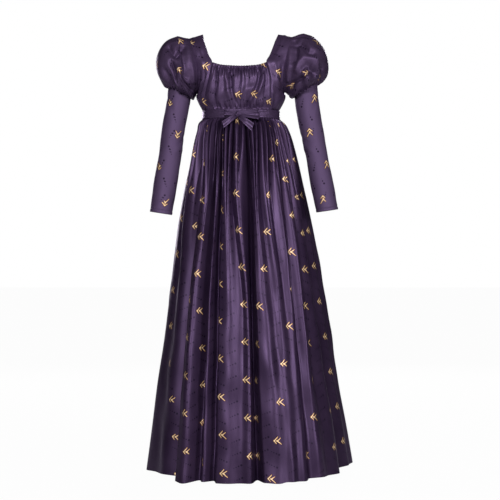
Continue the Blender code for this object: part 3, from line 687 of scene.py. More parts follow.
# %% Tables of the creases
# broad creases: turn in degrees (0 front, 90 outer side), way along, height, spreads
PUFF_SWELLS = {
    "right": ((36, 0.22, -0.004, 16, 0.18), (12, 0.62, -0.010, 14, 0.24), (-8, 0.55, 0.006, 12, 0.30),
              (48, 0.60, 0.006, 20, 0.24), (-26, 0.50, -0.007, 12, 0.30),
              (150, 0.55, -0.010, 15, 0.25), (205, 0.40, -0.010, 14, 0.28)),
    "left": ((10, 0.42, -0.006, 12, 0.20), (34, 0.50, 0.007, 22, 0.14), (46, 0.68, -0.009, 20, 0.18),
             (-12, 0.45, 0.006, 11, 0.34), (-24, 0.50, -0.006, 11, 0.30),
             (150, 0.50, -0.010, 15, 0.25), (205, 0.45, -0.010, 14, 0.28)),
}
# sharper creases in shares round and along, with the front at the half
PUFF_CREASES = {
    "right": (
        (((0.360, 0.27), (0.400, 0.26), (0.430, 0.24), (0.440, 0.20)), -0.0085, 0.010),
        (((0.440, 0.20), (0.421, 0.125), (0.375, 0.06)), -0.0075, 0.009),
        (((0.375, 0.05), (0.440, 0.05), (0.500, 0.06), (0.546, 0.07), (0.610, 0.11)), 0.0070, 0.009),
        (((0.400, 0.11), (0.458, 0.12), (0.514, 0.16), (0.565, 0.22)), -0.0075, 0.008),
        (((0.460, 0.36), (0.485, 0.39), (0.505, 0.46), (0.512, 0.55)), -0.0110, 0.010),
        (((0.500, 0.30), (0.546, 0.39), (0.616, 0.40)), 0.0060, 0.008),
        (((0.537, 0.30), (0.583, 0.34), (0.644, 0.29)), -0.0080, 0.008),
        (((0.420, 0.55), (0.440, 0.68), (0.450, 0.80)), -0.0060, 0.009),
    ),
    "left": (
        (((0.640, 0.04), (0.600, 0.06), (0.550, 0.09), (0.500, 0.12)), -0.0085, 0.008),
        (((0.580, 0.03), (0.500, 0.05), (0.430, 0.07), (0.390, 0.10)), 0.0070, 0.008),
        (((0.610, 0.12), (0.585, 0.20), (0.568, 0.28), (0.585, 0.36)), -0.0090, 0.010),
        (((0.460, 0.22), (0.500, 0.20), (0.530, 0.24), (0.545, 0.32), (0.575, 0.43)), 0.0062, 0.011),
        (((0.480, 0.31), (0.505, 0.34), (0.520, 0.42)), -0.0065, 0.010),
        (((0.495, 0.45), (0.525, 0.53), (0.545, 0.62)), -0.0110, 0.012),
        (((0.375, 0.20), (0.431, 0.38), (0.454, 0.46)), -0.0070, 0.009),
        (((0.600, 0.55), (0.640, 0.66)), -0.0060, 0.009),
    ),
}
print("sharp creases", len(PUFF_CREASES["right"]), "and", len(PUFF_CREASES["left"]))

# %% [markdown]
# ## The form of the puffs
# The first rows run from just inside the armhole to the first section, so that no gap shows at the
# seam. After them the ring follows the listed sections. Troughs are cut deeper than ridges stand,
# because gathered satin falls in on itself.

# %% Shape the puffs
def sleeve_ring(side, section, turn):
    """Points of a sleeve section: turn 0 at the front, a quarter at the wearer's left."""
    outer_x, outer_drop, under_x, under_drop, depth, forward = section
    sign = 1 if side == "left" else -1
    reach = (1 + sign * np.sin(turn)) / 2
    return place(sign * mix(under_x, outer_x, reach), -forward - depth * np.cos(turn),
                 -mix(under_drop, outer_drop, reach))


def section_at(rows, v):
    numbered = np.column_stack([np.linspace(0, 1, len(rows)), rows])
    return [read(numbered, column, v) for column in range(1, numbered.shape[1])]


def puff_form(side):
    """From just inside the armhole over the puff to the arm seam."""
    u, v = grid(PUFF_COLUMNS, PUFF_ROWS)
    turn = 2 * np.pi * u
    count = len(PUFF[side])
    first = 1 / count
    sign = 1 if side == "left" else -1
    share = np.clip((v - first) / (1 - first), 0, 1)
    body = sleeve_ring(side, section_at(np.array([(*row, 0.0) for row in PUFF[side]]), share), turn)
    hole = armhole(side, np.arccos(np.clip(sign * np.sin(turn), -1, 1)), np.cos(turn) < 0)
    hole = hole * (1, 0.97, 1) - (sign * SEAM_ALLOWANCE, 0, 0)
    start = np.clip(v / first, 0, 1)[..., None]
    return u, v, turn, mix(hole, body, start)


def puff_height(side, u, v, turn):
    degrees = np.degrees(turn)
    seed = 50 if side == "left" else 70
    cap = 0.08 + 0.92 * np.clip(np.sin(turn if side == "left" else -turn), 0, 1) ** 4
    top = 0.0026 * puckers(u, 26, seed, 0.5 * v) * hump(v - 0.10, 0.11) * cap
    top += 0.0014 * puckers(u, 44, seed + 1, 0.8 * v) * hump(v - 0.05, 0.07) * cap
    end = 0.0044 * puckers(u, 24, seed + 2, -0.5 * v) * hump(v - 0.92, 0.12)
    end += 0.0020 * puckers(u, 40, seed + 3) * hump(v - 0.96, 0.06)
    height = top + end
    for where, along, high, spread, length in PUFF_SWELLS[side]:
        where = -where if side == "right" else where
        apart = (degrees - where + 180) % 360 - 180
        height += high * hump(apart, spread) * hump(v - along, length)
    width, length = PUFF_SIZE
    folds = creases((u + 0.5) % 1, v, width, length, PUFF_CREASES[side])
    height += np.where(folds < 0, TROUGH_DEEPER * folds, folds)
    x, y = PUFF_RADIUS * np.sin(turn), v * length + PUFF_RADIUS * np.cos(turn)
    height += 0.0016 * crumple(x, y, 0.045, seed)
    return height * within(v, 12)


print("round a puff", PUFF_SIZE[0], "along it", PUFF_SIZE[1])

# %% [markdown]
# ## Laying the puffs
# A ring is laid like a panel, and its two ends are joined before the cloth gets its thickness, so that
# no edge is left where they meet.

# %% Lay the puffs
PUFF_SPRIGS = {
    "right": ((0.856, 0.114), (0.014, 0.318), (0.835, 0.523), (0.68, 0.30), (0.56, 0.62), (0.42, 0.28)),
    "left": ((0.176, 0.318), (0.981, 0.443), (0.116, 0.795), (0.861, 0.215), (0.34, 0.20),
             (0.43, 0.62), (0.60, 0.35)),
}
for side in ("right", "left"):
    u, v, turn, form = puff_form(side)
    marks = sprig_at(u, v, PUFF_SPRIGS[side], PUFF_TURN[side])
    marks += half_drop(form, (0.02, 0.05), SIDEWAYS[side], sprigs=False)
    lay_cloth("puff_" + side, form, puff_height(side, u, v, turn), "sleeve_puff_" + side,
              marks, ring=True)

# %% [markdown]
# ## The fitted sleeves
# Below the puff the sleeve is a narrow tube with a slightly bent elbow, hemmed at the wrist. It is cut
# across the grain, so its sprigs lie on their sides. The tube is laid like the puff. Shallow drag
# creases run from the inner elbow, and a stitched line stands one finger's width above the edge.

# %% Measures of the fitted sleeves
SLEEVE_COLUMNS, SLEEVE_ROWS = 96, 150
SLEEVE_SIZE, ARM_RADIUS = (0.24, 0.40), 0.04
CUFF_HEM = 0.011
# as for the puffs, then how far the arm comes forward
LOWER = {
    "right": (
        (0.2315, 0.1676, 0.1590, 0.1996, 0.040, 0.000), (0.2390, 0.2250, 0.1650, 0.2360, 0.039, 0.004),
        (0.2530, 0.3090, 0.1805, 0.3200, 0.038, 0.012), (0.2650, 0.4050, 0.1925, 0.4160, 0.037, 0.022),
        (0.2800, 0.4950, 0.2065, 0.5060, 0.037, 0.032), (0.2896, 0.5710, 0.2190, 0.5820, 0.037, 0.040),
    ),
    "left": (
        (0.2440, 0.1591, 0.1715, 0.1966, 0.040, 0.000), (0.2500, 0.2250, 0.1745, 0.2380, 0.039, 0.004),
        (0.2630, 0.3090, 0.1905, 0.3220, 0.038, 0.012), (0.2785, 0.4000, 0.2095, 0.4120, 0.037, 0.022),
        (0.2965, 0.4920, 0.2250, 0.5040, 0.037, 0.032), (0.3090, 0.5635, 0.2395, 0.5740, 0.037, 0.040),
    ),
}
LOWER_CREASES = {
    "right": ((((0.28, 0.42), (0.12, 0.47), (0.02, 0.47)), -0.0014, 0.006),
              (((0.30, 0.52), (0.16, 0.50), (0.06, 0.54)), 0.0012, 0.007),
              (((0.74, 0.14), (0.90, 0.20), (0.97, 0.28)), -0.0012, 0.008)),
}
LOWER_CREASES["left"] = mirrored(LOWER_CREASES["right"])
LOWER_SPRIGS = {
    "right": ((0.885, 0.187), (0.075, 0.420), (0.870, 0.645), (0.040, 0.905), (0.370, 0.187),
              (0.620, 0.420), (0.370, 0.645), (0.620, 0.905)),
    "left": ((0.115, 0.147), (0.965, 0.405), (0.135, 0.640), (0.975, 0.890), (0.600, 0.147),
             (0.370, 0.405), (0.600, 0.640), (0.370, 0.890)),
}
print("sections of a fitted sleeve", len(LOWER["right"]))

# %% [markdown]
# ## Laying the fitted sleeves
# The rows of the grid stand closer together near the wrist, where the hem is turned and stitched. A
# groove one millimetre deep is enough to read as a line of stitches at this scale.

# %% Lay the fitted sleeves
def sleeve_height(u, v, lines):
    """Creases, the gathered top and the stitched hem of a fitted sleeve."""
    width, length = SLEEVE_SIZE
    turn, above = 2 * np.pi * u, (1 - v) * length
    height = creases(u, v, width, length, lines)
    x, y = ARM_RADIUS * np.sin(turn), v * length + ARM_RADIUS * np.cos(turn)
    height += 0.0008 * crumple(x, y, 0.05, 43)
    height += 0.0011 * puckers(u, 20, 90) * hump(v, 0.03)
    height -= 0.0010 * hump(above - CUFF_HEM, 0.0012)
    height += 0.0004 * (above < CUFF_HEM) + edge_turn(1 - v, length, HEM_ROLL)
    return height


for side in ("right", "left"):
    u, v = grid(SLEEVE_COLUMNS, SLEEVE_ROWS)
    v = np.interp(v, (0, 0.8, 1), (0, 0.955, 1))
    form = sleeve_ring(side, section_at(np.array(LOWER[side]), v), 2 * np.pi * u)
    height = sleeve_height(u, v, LOWER_CREASES[side])
    marks = sprig_at(u, v, LOWER_SPRIGS[side], SIDEWAYS[side])
    marks += half_drop(form, (0.02, 0.04), SIDEWAYS[side], sprigs=False)
    lay_cloth("fitted_sleeve_" + side, form, height, "sleeve_lower_" + side, marks, ring=True)

# %% [markdown]
# ## The skirt
# Two wide lengths of satin are gathered into the band and hang to the floor. The long folds start as
# small gathers at the band, join into larger ones on the way down, and stand out deepest at the hem.
# Under them is a plain bell, given by its widths and depths at a few drops.

# %% Measures of the skirt
SKIRT_ROUND = 2.15
SKIRT_TOP, HEM_DROP = 0.271, 1.400
SKIRT_ROWS = 104
# drop, width right, width left, depth front, depth back
BELL = (
    (0.275, 0.122, 0.124, 0.101, 0.098), (0.290, 0.134, 0.138, 0.112, 0.112),
    (0.309, 0.138, 0.147, 0.120, 0.122), (0.341, 0.148, 0.157, 0.128, 0.132),
    (0.405, 0.162, 0.173, 0.140, 0.146), (0.500, 0.182, 0.195, 0.158, 0.166),
    (0.600, 0.199, 0.215, 0.175, 0.184), (0.725, 0.214, 0.237, 0.195, 0.205),
    (0.853, 0.230, 0.257, 0.215, 0.226), (0.981, 0.246, 0.280, 0.235, 0.247),
    (1.109, 0.266, 0.301, 0.255, 0.268), (1.237, 0.282, 0.328, 0.272, 0.288),
    (1.400, 0.303, 0.354, 0.292, 0.310),
)
print("the bell falls from", BELL[0][0], "to", BELL[-1][0])

# %% [markdown]
# ## The folds of the skirt
# Each line of the two tables is the ridge or the trough of one fold: where it stands around the bell in
# degrees at four drops, how far it stands out at the hem and how far it lifts the hem there, both in
# millimetres, and how many small gathers run to the next line. The back is guessed, so its folds are
# spaced more evenly.

# %% Tables of the folds
FOLD_LEVELS = (0.31, 0.506, 0.847, 1.318)
FRONT_LINES = (
    (-90.0, -90.0, -90.0, -90.0, 0, 6, 1), (-81.0, -79.0, -72.0, -70.0, -18, 9, 2),
    (-67.5, -65.5, -56.5, -54.5, -6, 10, 2), (-52.5, -43.0, -43.0, -41.0, -40, 6, 1),
    (-46.0, -38.0, -39.5, -37.5, 20, -2, 1), (-40.5, -30.0, -33.8, -30.5, 36, -6, 2),
    (-29.0, -26.0, -25.5, -24.2, -32, 0, 1), (-26.8, -21.2, -22.0, -19.8, 22, 0, 1),
    (-23.8, -19.0, -17.8, -14.8, -30, 0, 1), (-20.2, -16.0, -14.0, -12.4, 14, -3, 1),
    (-14.2, -12.0, -7.8, -6.0, 20, -3, 1), (-8.2, -8.0, 0.8, -0.5, 10, -3, 1),
    (-1.2, -2.2, 4.2, 4.0, 24, -3, 1), (6.5, 8.2, 7.2, 7.8, -52, 0, 1),
    (9.2, 9.8, 9.2, 10.6, 14, -2, 1), (14.2, 11.8, 14.8, 17.0, 25, -4, 1),
    (19.8, 15.2, 20.5, 21.2, 20, 0, 1), (26.5, 21.0, 25.0, 24.0, 23, 0, 1),
    (32.5, 26.5, 29.8, 27.5, 16, 0, 1), (37.0, 34.8, 34.8, 31.0, 19, 0, 1),
    (42.2, 39.8, 39.2, 36.8, -14, 4, 1), (45.8, 47.8, 45.2, 43.0, 8, 6, 1),
    (51.0, 56.0, 52.0, 53.8, -20, 6, 1), (59.5, 66.0, 65.0, 65.0, -16, 6, 2),
    (74.0, 79.0, 79.0, 79.0, -38, 6, 2), (90.0, 90.0, 90.0, 90.0, -44, 8, 1),
)
BACK_LINES = (
    (90.0, 90.0, 90.0, 90.0, -44, 8, 1), (97.0, 99.0, 101.0, 102.0, 4, 12, 1),
    (105.0, 110.0, 112.0, 113.0, 44, 14, 1), (114.0, 119.0, 122.0, 124.0, -16, 8, 1),
    (124.0, 127.0, 132.0, 134.0, 20, 4, 1), (134.0, 137.0, 140.0, 142.0, -24, 2, 1),
    (143.0, 147.0, 150.0, 151.0, 24, 0, 1), (152.0, 155.0, 157.0, 158.0, -30, 0, 1),
    (161.0, 163.0, 165.0, 167.0, 26, 0, 1), (170.0, 171.0, 172.0, 174.0, -26, 0, 1),
    (179.0, 179.0, 181.0, 183.0, 28, 0, 1), (188.0, 188.0, 189.0, 190.0, -32, 0, 1),
    (197.0, 197.0, 198.0, 199.0, 24, 0, 1), (206.0, 205.0, 206.0, 206.0, -22, 0, 1),
    (215.0, 213.0, 214.0, 215.0, 26, 0, 1), (224.0, 223.0, 223.0, 223.0, -26, 0, 1),
    (234.0, 232.0, 231.0, 231.0, 20, 0, 1), (244.0, 242.0, 241.0, 240.0, -22, 0, 1),
    (254.0, 252.0, 251.0, 251.0, 16, 0, 1), (262.0, 262.0, 261.0, 261.0, -10, 0, 1),
    (270.0, 270.0, 270.0, 270.0, 0, 6, 1),
)
print("folds in front", len(FRONT_LINES), "and behind", len(BACK_LINES))

# %% [markdown]
# ## How a fold grows on its way down
# These short curves say, drop by drop, how much of its full height a fold has, how tall the small
# gathers stand, how round the folds are, and how far narrow ones have joined.

# %% Curves along the folds
GATHER_TOP = 0.275
FOLD_SHARE = ((0.275, 0.05), (0.31, 0.16), (0.405, 0.34), (0.506, 0.46), (0.725, 0.66),
              (0.981, 0.84), (1.237, 0.96), (1.400, 1.0))
GATHER_HEIGHT = ((0.275, 0.0020), (0.290, 0.0085), (0.341, 0.0105), (0.405, 0.0078),
                 (0.500, 0.0036), (0.650, 0.0010), (0.85, 0.0))
UPPER_FOLD = ((0.275, 0.0), (0.34, 0.0020), (0.45, 0.0044), (0.65, 0.0042),
              (0.90, 0.0026), (1.20, 0.0))
FOLD_ROUND = ((0.30, 0.45), (0.60, 0.75), (0.90, 1.0))
FOLD_SOFT = ((0.45, 0.0), (0.80, 0.35), (1.10, 0.60), (1.40, 0.65))
SOFT_REACH = 9
SWAY_DEGREES, SWAY_WAVE, SWAY_SHARE = 0.35, 8.0, 0.12
PLAIN_STEPS, GATHER_STEPS = 12, 6
print("gathers stand", GATHER_HEIGHT[2][1], "at their tallest")

# %% [markdown]
# ## The form of one width of the skirt
# The places across a width are counted along its table, so place 3.5 is half way between two lines.
# Large folds, small gathers and soft dents are worked out apart and then summed. Everything fades to
# nothing at the band, where the cloth is held flat.

# %% Shape a width of the skirt
def skirt_drops():
    """Rows of the skirt, closer together under the band."""
    share = np.linspace(0, 1, SKIRT_ROWS + 1)
    return mix(SKIRT_TOP, HEM_DROP, share ** 1.35)


def bell_point(turn, drop):
    width = np.where(np.sin(turn) > 0, read(BELL, 2, drop), read(BELL, 1, drop))
    depth = np.where(np.cos(turn) > 0, read(BELL, 3, drop), read(BELL, 4, drop))
    x, y = rounded(turn, width, depth, SKIRT_ROUND)
    return place(x, y, -drop)


def softened(height, reach, share):
    """Every row blended with its own running mean, so that narrow folds join into broad ones."""
    steps = np.arange(-3 * reach, 3 * reach + 1)
    weights = hump(steps, reach) / hump(steps, reach).sum()
    padded = np.pad(height, ((0, 0), (3 * reach, 3 * reach)), mode="edge")
    means = np.array([np.convolve(row, weights, "valid") for row in padded])
    return mix(height, means, share)


def skirt_stations(table):
    """Places across a width on its table, closer together where the cloth has more gathers."""
    stations = []
    for index, gathers in enumerate(table[:-1, 6]):
        steps = int(PLAIN_STEPS + GATHER_STEPS * gathers)
        stations += [index + step / steps for step in range(steps)]
    stations = np.array(stations + [len(table) - 1.0])
    index = np.minimum(stations.astype(int), len(table) - 2)
    return stations, index, stations - index


def fold_turns(table, drops, sway, index, share):
    """Where every place stands around the bell, at every drop."""
    turns = np.array([read([(level, line[k]) for k, level in enumerate(FOLD_LEVELS)], 1, drops)
                      for line in table]).T
    turn = np.radians(mix(turns[:, index], turns[:, index + 1], share)
                      + SWAY_DEGREES * mix(sway[:, index], sway[:, index + 1], share))
    return np.clip(turn, math.radians(table[0, 0]), math.radians(table[-1, 0]))


def fold_heights(table, down, sway, index, ease, across):
    """The height of the large folds, the narrow ones joining on the way down."""
    crest = np.sign(2 * table[:, 4] - np.roll(table[:, 4], 1) - np.roll(table[:, 4], -1))
    crest[[0, -1]] = 0
    tall = table[:, 4] / 1000 * (1 + SWAY_SHARE * sway) * read(FOLD_SHARE, 1, down)
    tall += crest * read(UPPER_FOLD, 1, down)
    high = mix(tall[:, index], tall[:, index + 1], ease)
    return softened(high, SOFT_REACH, read(FOLD_SOFT, 1, down) * within(across, 5))


def gather_heights(table, down, index, share, draw):
    """The height of the small gathers, each with its own strength and length."""
    strength = 0.5 + 0.9 * draw.random(len(table))
    fade = 0.7 + 0.8 * draw.random(len(table))
    wave = 2 * np.abs(np.sin(np.pi * table[index, 6] * share)) - 1.6
    deep = read(GATHER_HEIGHT, 1, GATHER_TOP + (down - GATHER_TOP) * fade[index])
    ends = within(share, 6)
    tall = mix(read(GATHER_HEIGHT, 1, down), deep, ends)
    small = np.sin(2 * np.pi * (2 * table[index, 6] + 1) * share + 1.0) * ends
    return wave * mix(1, strength[index], ends) * tall + 0.0020 * small * hump(down - 0.285, 0.045)


def skirt_width(lines, seed):
    """One width of the skirt: form, height of its folds and the direction away."""
    table = np.array(lines, float)
    stations, index, share = skirt_stations(table)
    drops, across = skirt_drops(), stations / stations[-1]
    down = drops[:, None]
    draw = np.random.default_rng(seed)
    sway = np.sin(SWAY_WAVE * down + 2 * np.pi * draw.random(len(table)))
    sway[:, [0, -1]] = 0
    ease = mix(share, (1 - np.cos(np.pi * share)) / 2, read(FOLD_ROUND, 1, down))
    turn = fold_turns(table, drops, sway, index, share)
    lift = mix(table[index, 5], table[index + 1, 5], ease) / 1000
    drop = down - lift * ((down - BAND_TOP) / (HEM_DROP - BAND_TOP)) ** 3

    height = fold_heights(table, down, sway, index, ease, across)
    height += gather_heights(table, down, index, share, draw)
    dents = crumple(0.35 * turn, down, 0.085, seed) * (down - 0.25)
    height += 0.0028 * dents * np.sin(np.pi * across) ** 0.5
    height *= np.clip((down - 0.274) / 0.006, 0, 1)

    form = bell_point(turn, drop)
    along = bell_point(turn + 0.02, drop) - bell_point(turn - 0.02, drop)
    away = place(along[..., 1], -along[..., 0], 0)
    return stations, drops, form, height, away / np.linalg.norm(away, axis=2, keepdims=True)


print("rows of the skirt", SKIRT_ROWS)

# %% [markdown]
# ## The print on the skirt
# On the skirt the columns of sprigs drift over the folds as the cloth spreads. So each column is listed
# by its place on the fold table at five drops, and the sprays stand half way between two columns.

# %% Chart the print of the skirt
PRINT_TOP, PRINT_CLEAR = 0.285, 0.005


def skirt_marks(stations, drops, columns):
    """Columns of sprigs that drift over the folds, and columns of sprays half way between them."""
    marks = []
    places, rows = np.arange(len(stations)), np.arange(len(drops))
    for order, (first, *drift) in enumerate(columns):
        beside = columns[min(order + 1, len(columns) - 1)][1:]
        for k in range(-2, 31):
            drop = first + k * REPEAT / 3
            station = np.interp(drop, PRINT_LEVELS, drift)
            column = np.interp(station, stations, places)
            if PRINT_TOP < drop < HEM_DROP - PRINT_CLEAR:
                kind = SPRAY_DOWN if k % 3 else SPRIG
                marks.append((column, np.interp(drop, drops, rows), kind, 0.0))
            drop += REPEAT / 6
            station = (station + np.interp(drop, PRINT_LEVELS, beside)) / 2
            column = np.interp(station, stations, places)
            if PRINT_TOP < drop < HEM_DROP - PRINT_CLEAR and order + 1 < len(columns):
                marks.append((column, np.interp(drop, drops, rows), SPRAY_UP, 0.0))
    return marks


# drop of the first sprig, then the column's place on the fold table at five drops
PRINT_LEVELS = (0.34, 0.62, 0.90, 1.18, 1.40)
FRONT_PRINT = (
    (0.3625, 0.30, 0.40, 0.50, 2.25, 2.80), (0.389, 1.60, 2.70, 4.30, 4.80, 5.36),
    (0.307, 3.30, 4.75, 5.47, 5.95, 6.90), (0.338, 8.30, 8.80, 8.95, 9.35, 9.65),
    (0.287, 11.6, 11.6, 11.3, 11.6, 12.2), (0.2925, 19.0, 16.6, 13.9, 13.3, 13.3),
    (0.355, 20.6, 21.1, 18.55, 15.45, 14.4), (0.296, 22.8, 23.0, 22.1, 21.35, 18.9),
    (0.399, 25.0, 24.8, 23.9, 23.3, 22.75),
)
BACK_PRINT = tuple((0.287 + REPEAT / 2 * (k % 2), *[0.7 + 2.1 * k] * 5) for k in range(10))
print("columns of sprigs", len(FRONT_PRINT), "in front and", len(BACK_PRINT), "behind")

# %% [markdown]
# ## Laying the skirt
# Both widths go through the same calls. The direction away from the wearer is taken from the plain
# bell and not from the folded cloth, so that neighbouring folds stay clear of each other.

# %% Lay the two widths of the skirt
for name, lines, columns, seed in (("skirt_front", FRONT_LINES, FRONT_PRINT, 11),
                                   ("skirt_back", BACK_LINES, BACK_PRINT, 12)):
    stations, drops, form, height, away = skirt_width(lines, seed)
    marks = skirt_marks(stations, drops, columns)
    lay_cloth(name + "_width", form, height, name, marks, away=away)

# %% [markdown]
# ## The band
# The band is a straight strip around the body, the same satin in its plain, darker shade. It stands a
# little proud of the bodice, with both edges turned in, and pulls into fine level creases where the bow
# is tied.

# %% Lay the band
BAND_COLUMNS, BAND_ROWS = 260, 20
BAND_OUT, BAND_ROLL, BAND_LENGTH = 0.0022, 0.0030, 0.73
BAND_CREASES = (
    (((0.90, 0.30), (0.98, 0.45)), -0.0009, 0.0022), (((0.88, 0.70), (0.97, 0.58)), -0.0008, 0.0022),
    (((0.01, 0.50), (0.10, 0.34)), -0.0010, 0.0024), (((0.01, 0.60), (0.12, 0.72)), -0.0008, 0.0022),
    (((0.12, 0.40), (0.22, 0.46)), 0.0007, 0.0030), (((0.76, 0.52), (0.86, 0.60)), 0.0007, 0.0030),
    (((0.40, 0.35), (0.62, 0.42)), -0.0006, 0.0030), (((0.30, 0.66), (0.48, 0.60)), -0.0006, 0.0030),
)


def band_form(columns, rows):
    """The band: a ring on the bodice form, in its own height."""
    u, v = grid(columns, rows)
    drop = BAND_TOP + v * BAND_HEIGHT
    turn = 2 * np.pi * u
    depth = np.where(np.cos(turn) > 0, read(BODY, 2, drop), read(BODY, 3, drop))
    x, y = rounded(turn, read(BODY, 1, drop), depth, BODY_ROUND)
    return u, v, place(x, y, -drop)


u, v, form = band_form(BAND_COLUMNS, BAND_ROWS)
height = BAND_OUT + creases(u, v, BAND_LENGTH, BAND_HEIGHT, BAND_CREASES) * within(v, 6)
height += edge_turn(v, BAND_HEIGHT, BAND_ROLL) + edge_turn(1 - v, BAND_HEIGHT, BAND_ROLL)
height += 0.0005 * puckers(u, 60, 17) * (hump(v, 0.25) + hump(1 - v, 0.25))
lay_cloth("high_band", form, height, "waist_band", ring=True)

# %% [markdown]
# ## The bow
# The bow is tied from a soft ribbon of the same satin: a small pinched knot, two flat loops that lie
# against the band, and two ends that hang slanting over the gathers. Each loop is a ribbon that runs
# out from the knot, turns at its tip and comes back behind itself. It could be a bent tube, but a
# ribbon has edges, and these catch the light.

# %% Measures of the bow
KNOT = {"x": -0.0105, "drop": 0.2650, "width": 0.016, "height": 0.021, "depth": 0.015}
RIBBON, BOW_GAP = 0.0009, 0.0003
LOOP_SIZE, TAIL_SIZE = (0.12, 0.025), (0.018, 0.06)
LOOPS = {
    "right": {"tip": (-0.0440, -0.004), "ribbon": (0.010, 0.017), "open": 0.010, "lean": 0.002},
    "left": {"tip": (0.0680, 0.002), "ribbon": (0.010, 0.034), "open": 0.016, "lean": 0.014},
}
TAILS = {
    "right": {"start": (-0.0050, 0.0060), "end": (-0.0460, 0.0350), "ribbon": (0.013, 0.0200),
              "cut": 0.004},
    "left": {"start": (0.0056, 0.0080), "end": (0.0480, 0.0430), "ribbon": (0.014, 0.0225),
             "cut": -0.004},
}
TAIL_CLEAR = (0.0075, 0.0310)
HALF_LOOP = (
    (((0.02, 0.45), (0.44, 0.18)), -0.0024, 0.0024), (((0.02, 0.55), (0.42, 0.62)), -0.0024, 0.0022),
    (((0.02, 0.50), (0.46, 0.40)), 0.0018, 0.0030), (((0.30, 0.95), (0.48, 0.70)), 0.0016, 0.0028),
)
LOOP_CREASES = HALF_LOOP + mirrored(HALF_LOOP)
TAIL_CREASES = (
    (((0.40, 0.0), (0.30, 0.55)), -0.0008, 0.0018), (((0.60, 0.0), (0.70, 0.45)), 0.0007, 0.0020),
)
print("creases of a loop", len(LOOP_CREASES))

# %% [markdown]
# ## The form of the loops and the ends
# Both stand on the front of the band, so each starts from the band's own depth there. A loop is one
# sheet bent round at its tip, and an end is a flat strip with a slanting cut.

# %% Shape the loops and the ends
def band_front(x, drop):
    """Y of the band's outer face at one width."""
    return -body_depth(x, drop) - BAND_OUT


def loop_form(side):
    u, v = grid(120, 24)
    loop = LOOPS[side]
    sign = 1 if side == "left" else -1
    tip_x, tip_drop = loop["tip"]
    turn = np.pi * (1 - u) if side == "left" else np.pi * u
    reach = np.clip(np.sin(turn), 0, 1) ** 0.75
    x = mix(sign * (KNOT["width"] / 2 - 0.002), tip_x, reach)
    ribbon = mix(loop["ribbon"][0], loop["ribbon"][1], reach ** 0.7)
    y = band_front(KNOT["x"], KNOT["drop"]) - BOW_GAP - RIBBON
    y = y - loop["open"] * (0.5 - 0.5 * np.cos(turn)) * (0.35 + reach)
    y += 0.0022 * np.sin(2 * np.pi * v) * np.sin(turn) - loop["lean"] * v ** 2 * reach
    bend = body_depth(KNOT["x"], KNOT["drop"]) - body_depth(KNOT["x"] + x, KNOT["drop"])
    drop = KNOT["drop"] + tip_drop * reach + (v - 0.5) * ribbon
    return u, v, place(KNOT["x"] + x, y + bend, -drop)


def tail_form(side):
    u, v = grid(28, 60)
    tail = TAILS[side]
    (start_x, start_drop), (end_x, end_drop) = tail["start"], tail["end"]
    length = math.hypot(end_x - start_x, end_drop - start_drop)
    along_x, along_drop = (end_x - start_x) / length, (end_drop - start_drop) / length
    aside = (u - 0.5) * mix(tail["ribbon"][0], tail["ribbon"][1], v)
    cut = tail["cut"] * (2 * u - 1) * v * v
    x = mix(start_x, end_x, v) + aside * along_drop + cut * along_x
    drop = mix(start_drop, end_drop, v) - aside * along_x + cut * along_drop
    wave = 0.0012 * np.sin(5 * v) + 0.0015 * np.cos(2 * np.pi * u) * v
    clear = mix(TAIL_CLEAR[0], TAIL_CLEAR[1], v ** 0.6)
    y = band_front(KNOT["x"] + x, KNOT["drop"]) - clear - wave
    return u, v, place(KNOT["x"] + x, y, -KNOT["drop"] - drop)


print("the knot stands at", KNOT["x"])

# %% [markdown]
# ## Laying the bow
# Loops and ends are laid as cloth, a little thicker than the rest, because a ribbon is doubled. They
# are laid before the knot, which covers where they start.

# %% Lay the loops and the ends
for side in ("right", "left"):
    u, v, form = loop_form(side)
    height = creases(u, v, *LOOP_SIZE, LOOP_CREASES)
    lay_cloth("loop_" + side, form, height, "bow_loop_" + side, wall=RIBBON)
    u, v, form = tail_form(side)
    height = creases(u, v, *TAIL_SIZE, TAIL_CREASES)
    lay_cloth("tail_" + side, form, height, "bow_tail_" + side, wall=RIBBON)

# %% [markdown]
# ## The knot
# The knot is a small pinched pad, so it starts as a sphere. It is squared and narrowed towards the top,
# drawn in at its waist, and pleated where the ribbon wraps it. A wrapped strip would give more edges
# than can be seen at this size.

# %% Pinch the knot
knot = bmesh.new()
bmesh.ops.create_uvsphere(knot, u_segments=64, v_segments=40, radius=1)
middle = band_front(KNOT["x"], KNOT["drop"]) - BOW_GAP - KNOT["depth"] / 2
for vertex in knot.verts:
    x, y, z = vertex.co
    x = math.copysign(abs(x) ** 0.75, x) * (0.78 - 0.22 * z)
    pinch = 1 - 0.16 * float(hump(z, 0.35))
    pleat = 1 + 0.11 * math.cos(8 * x + 4 * z) * (1 - abs(z))
    vertex.co = (KNOT["x"] + x * pinch * KNOT["width"] / 2,
                 middle + y * pleat * KNOT["depth"] / 2,
                 -KNOT["drop"] + z * KNOT["height"] / 2)
finish_piece("tied_knot", knot, "bow_knot")

# %% [markdown]
# ## Shader sums as plain Python
# A procedural finish is a long sum of small math nodes, and wiring them one by one hides the sum. The
# small class below wraps a node's output socket, so that `a * 2 + b` builds the two math nodes and
# links them. Colours go through Mix nodes, and every other node comes from one method.

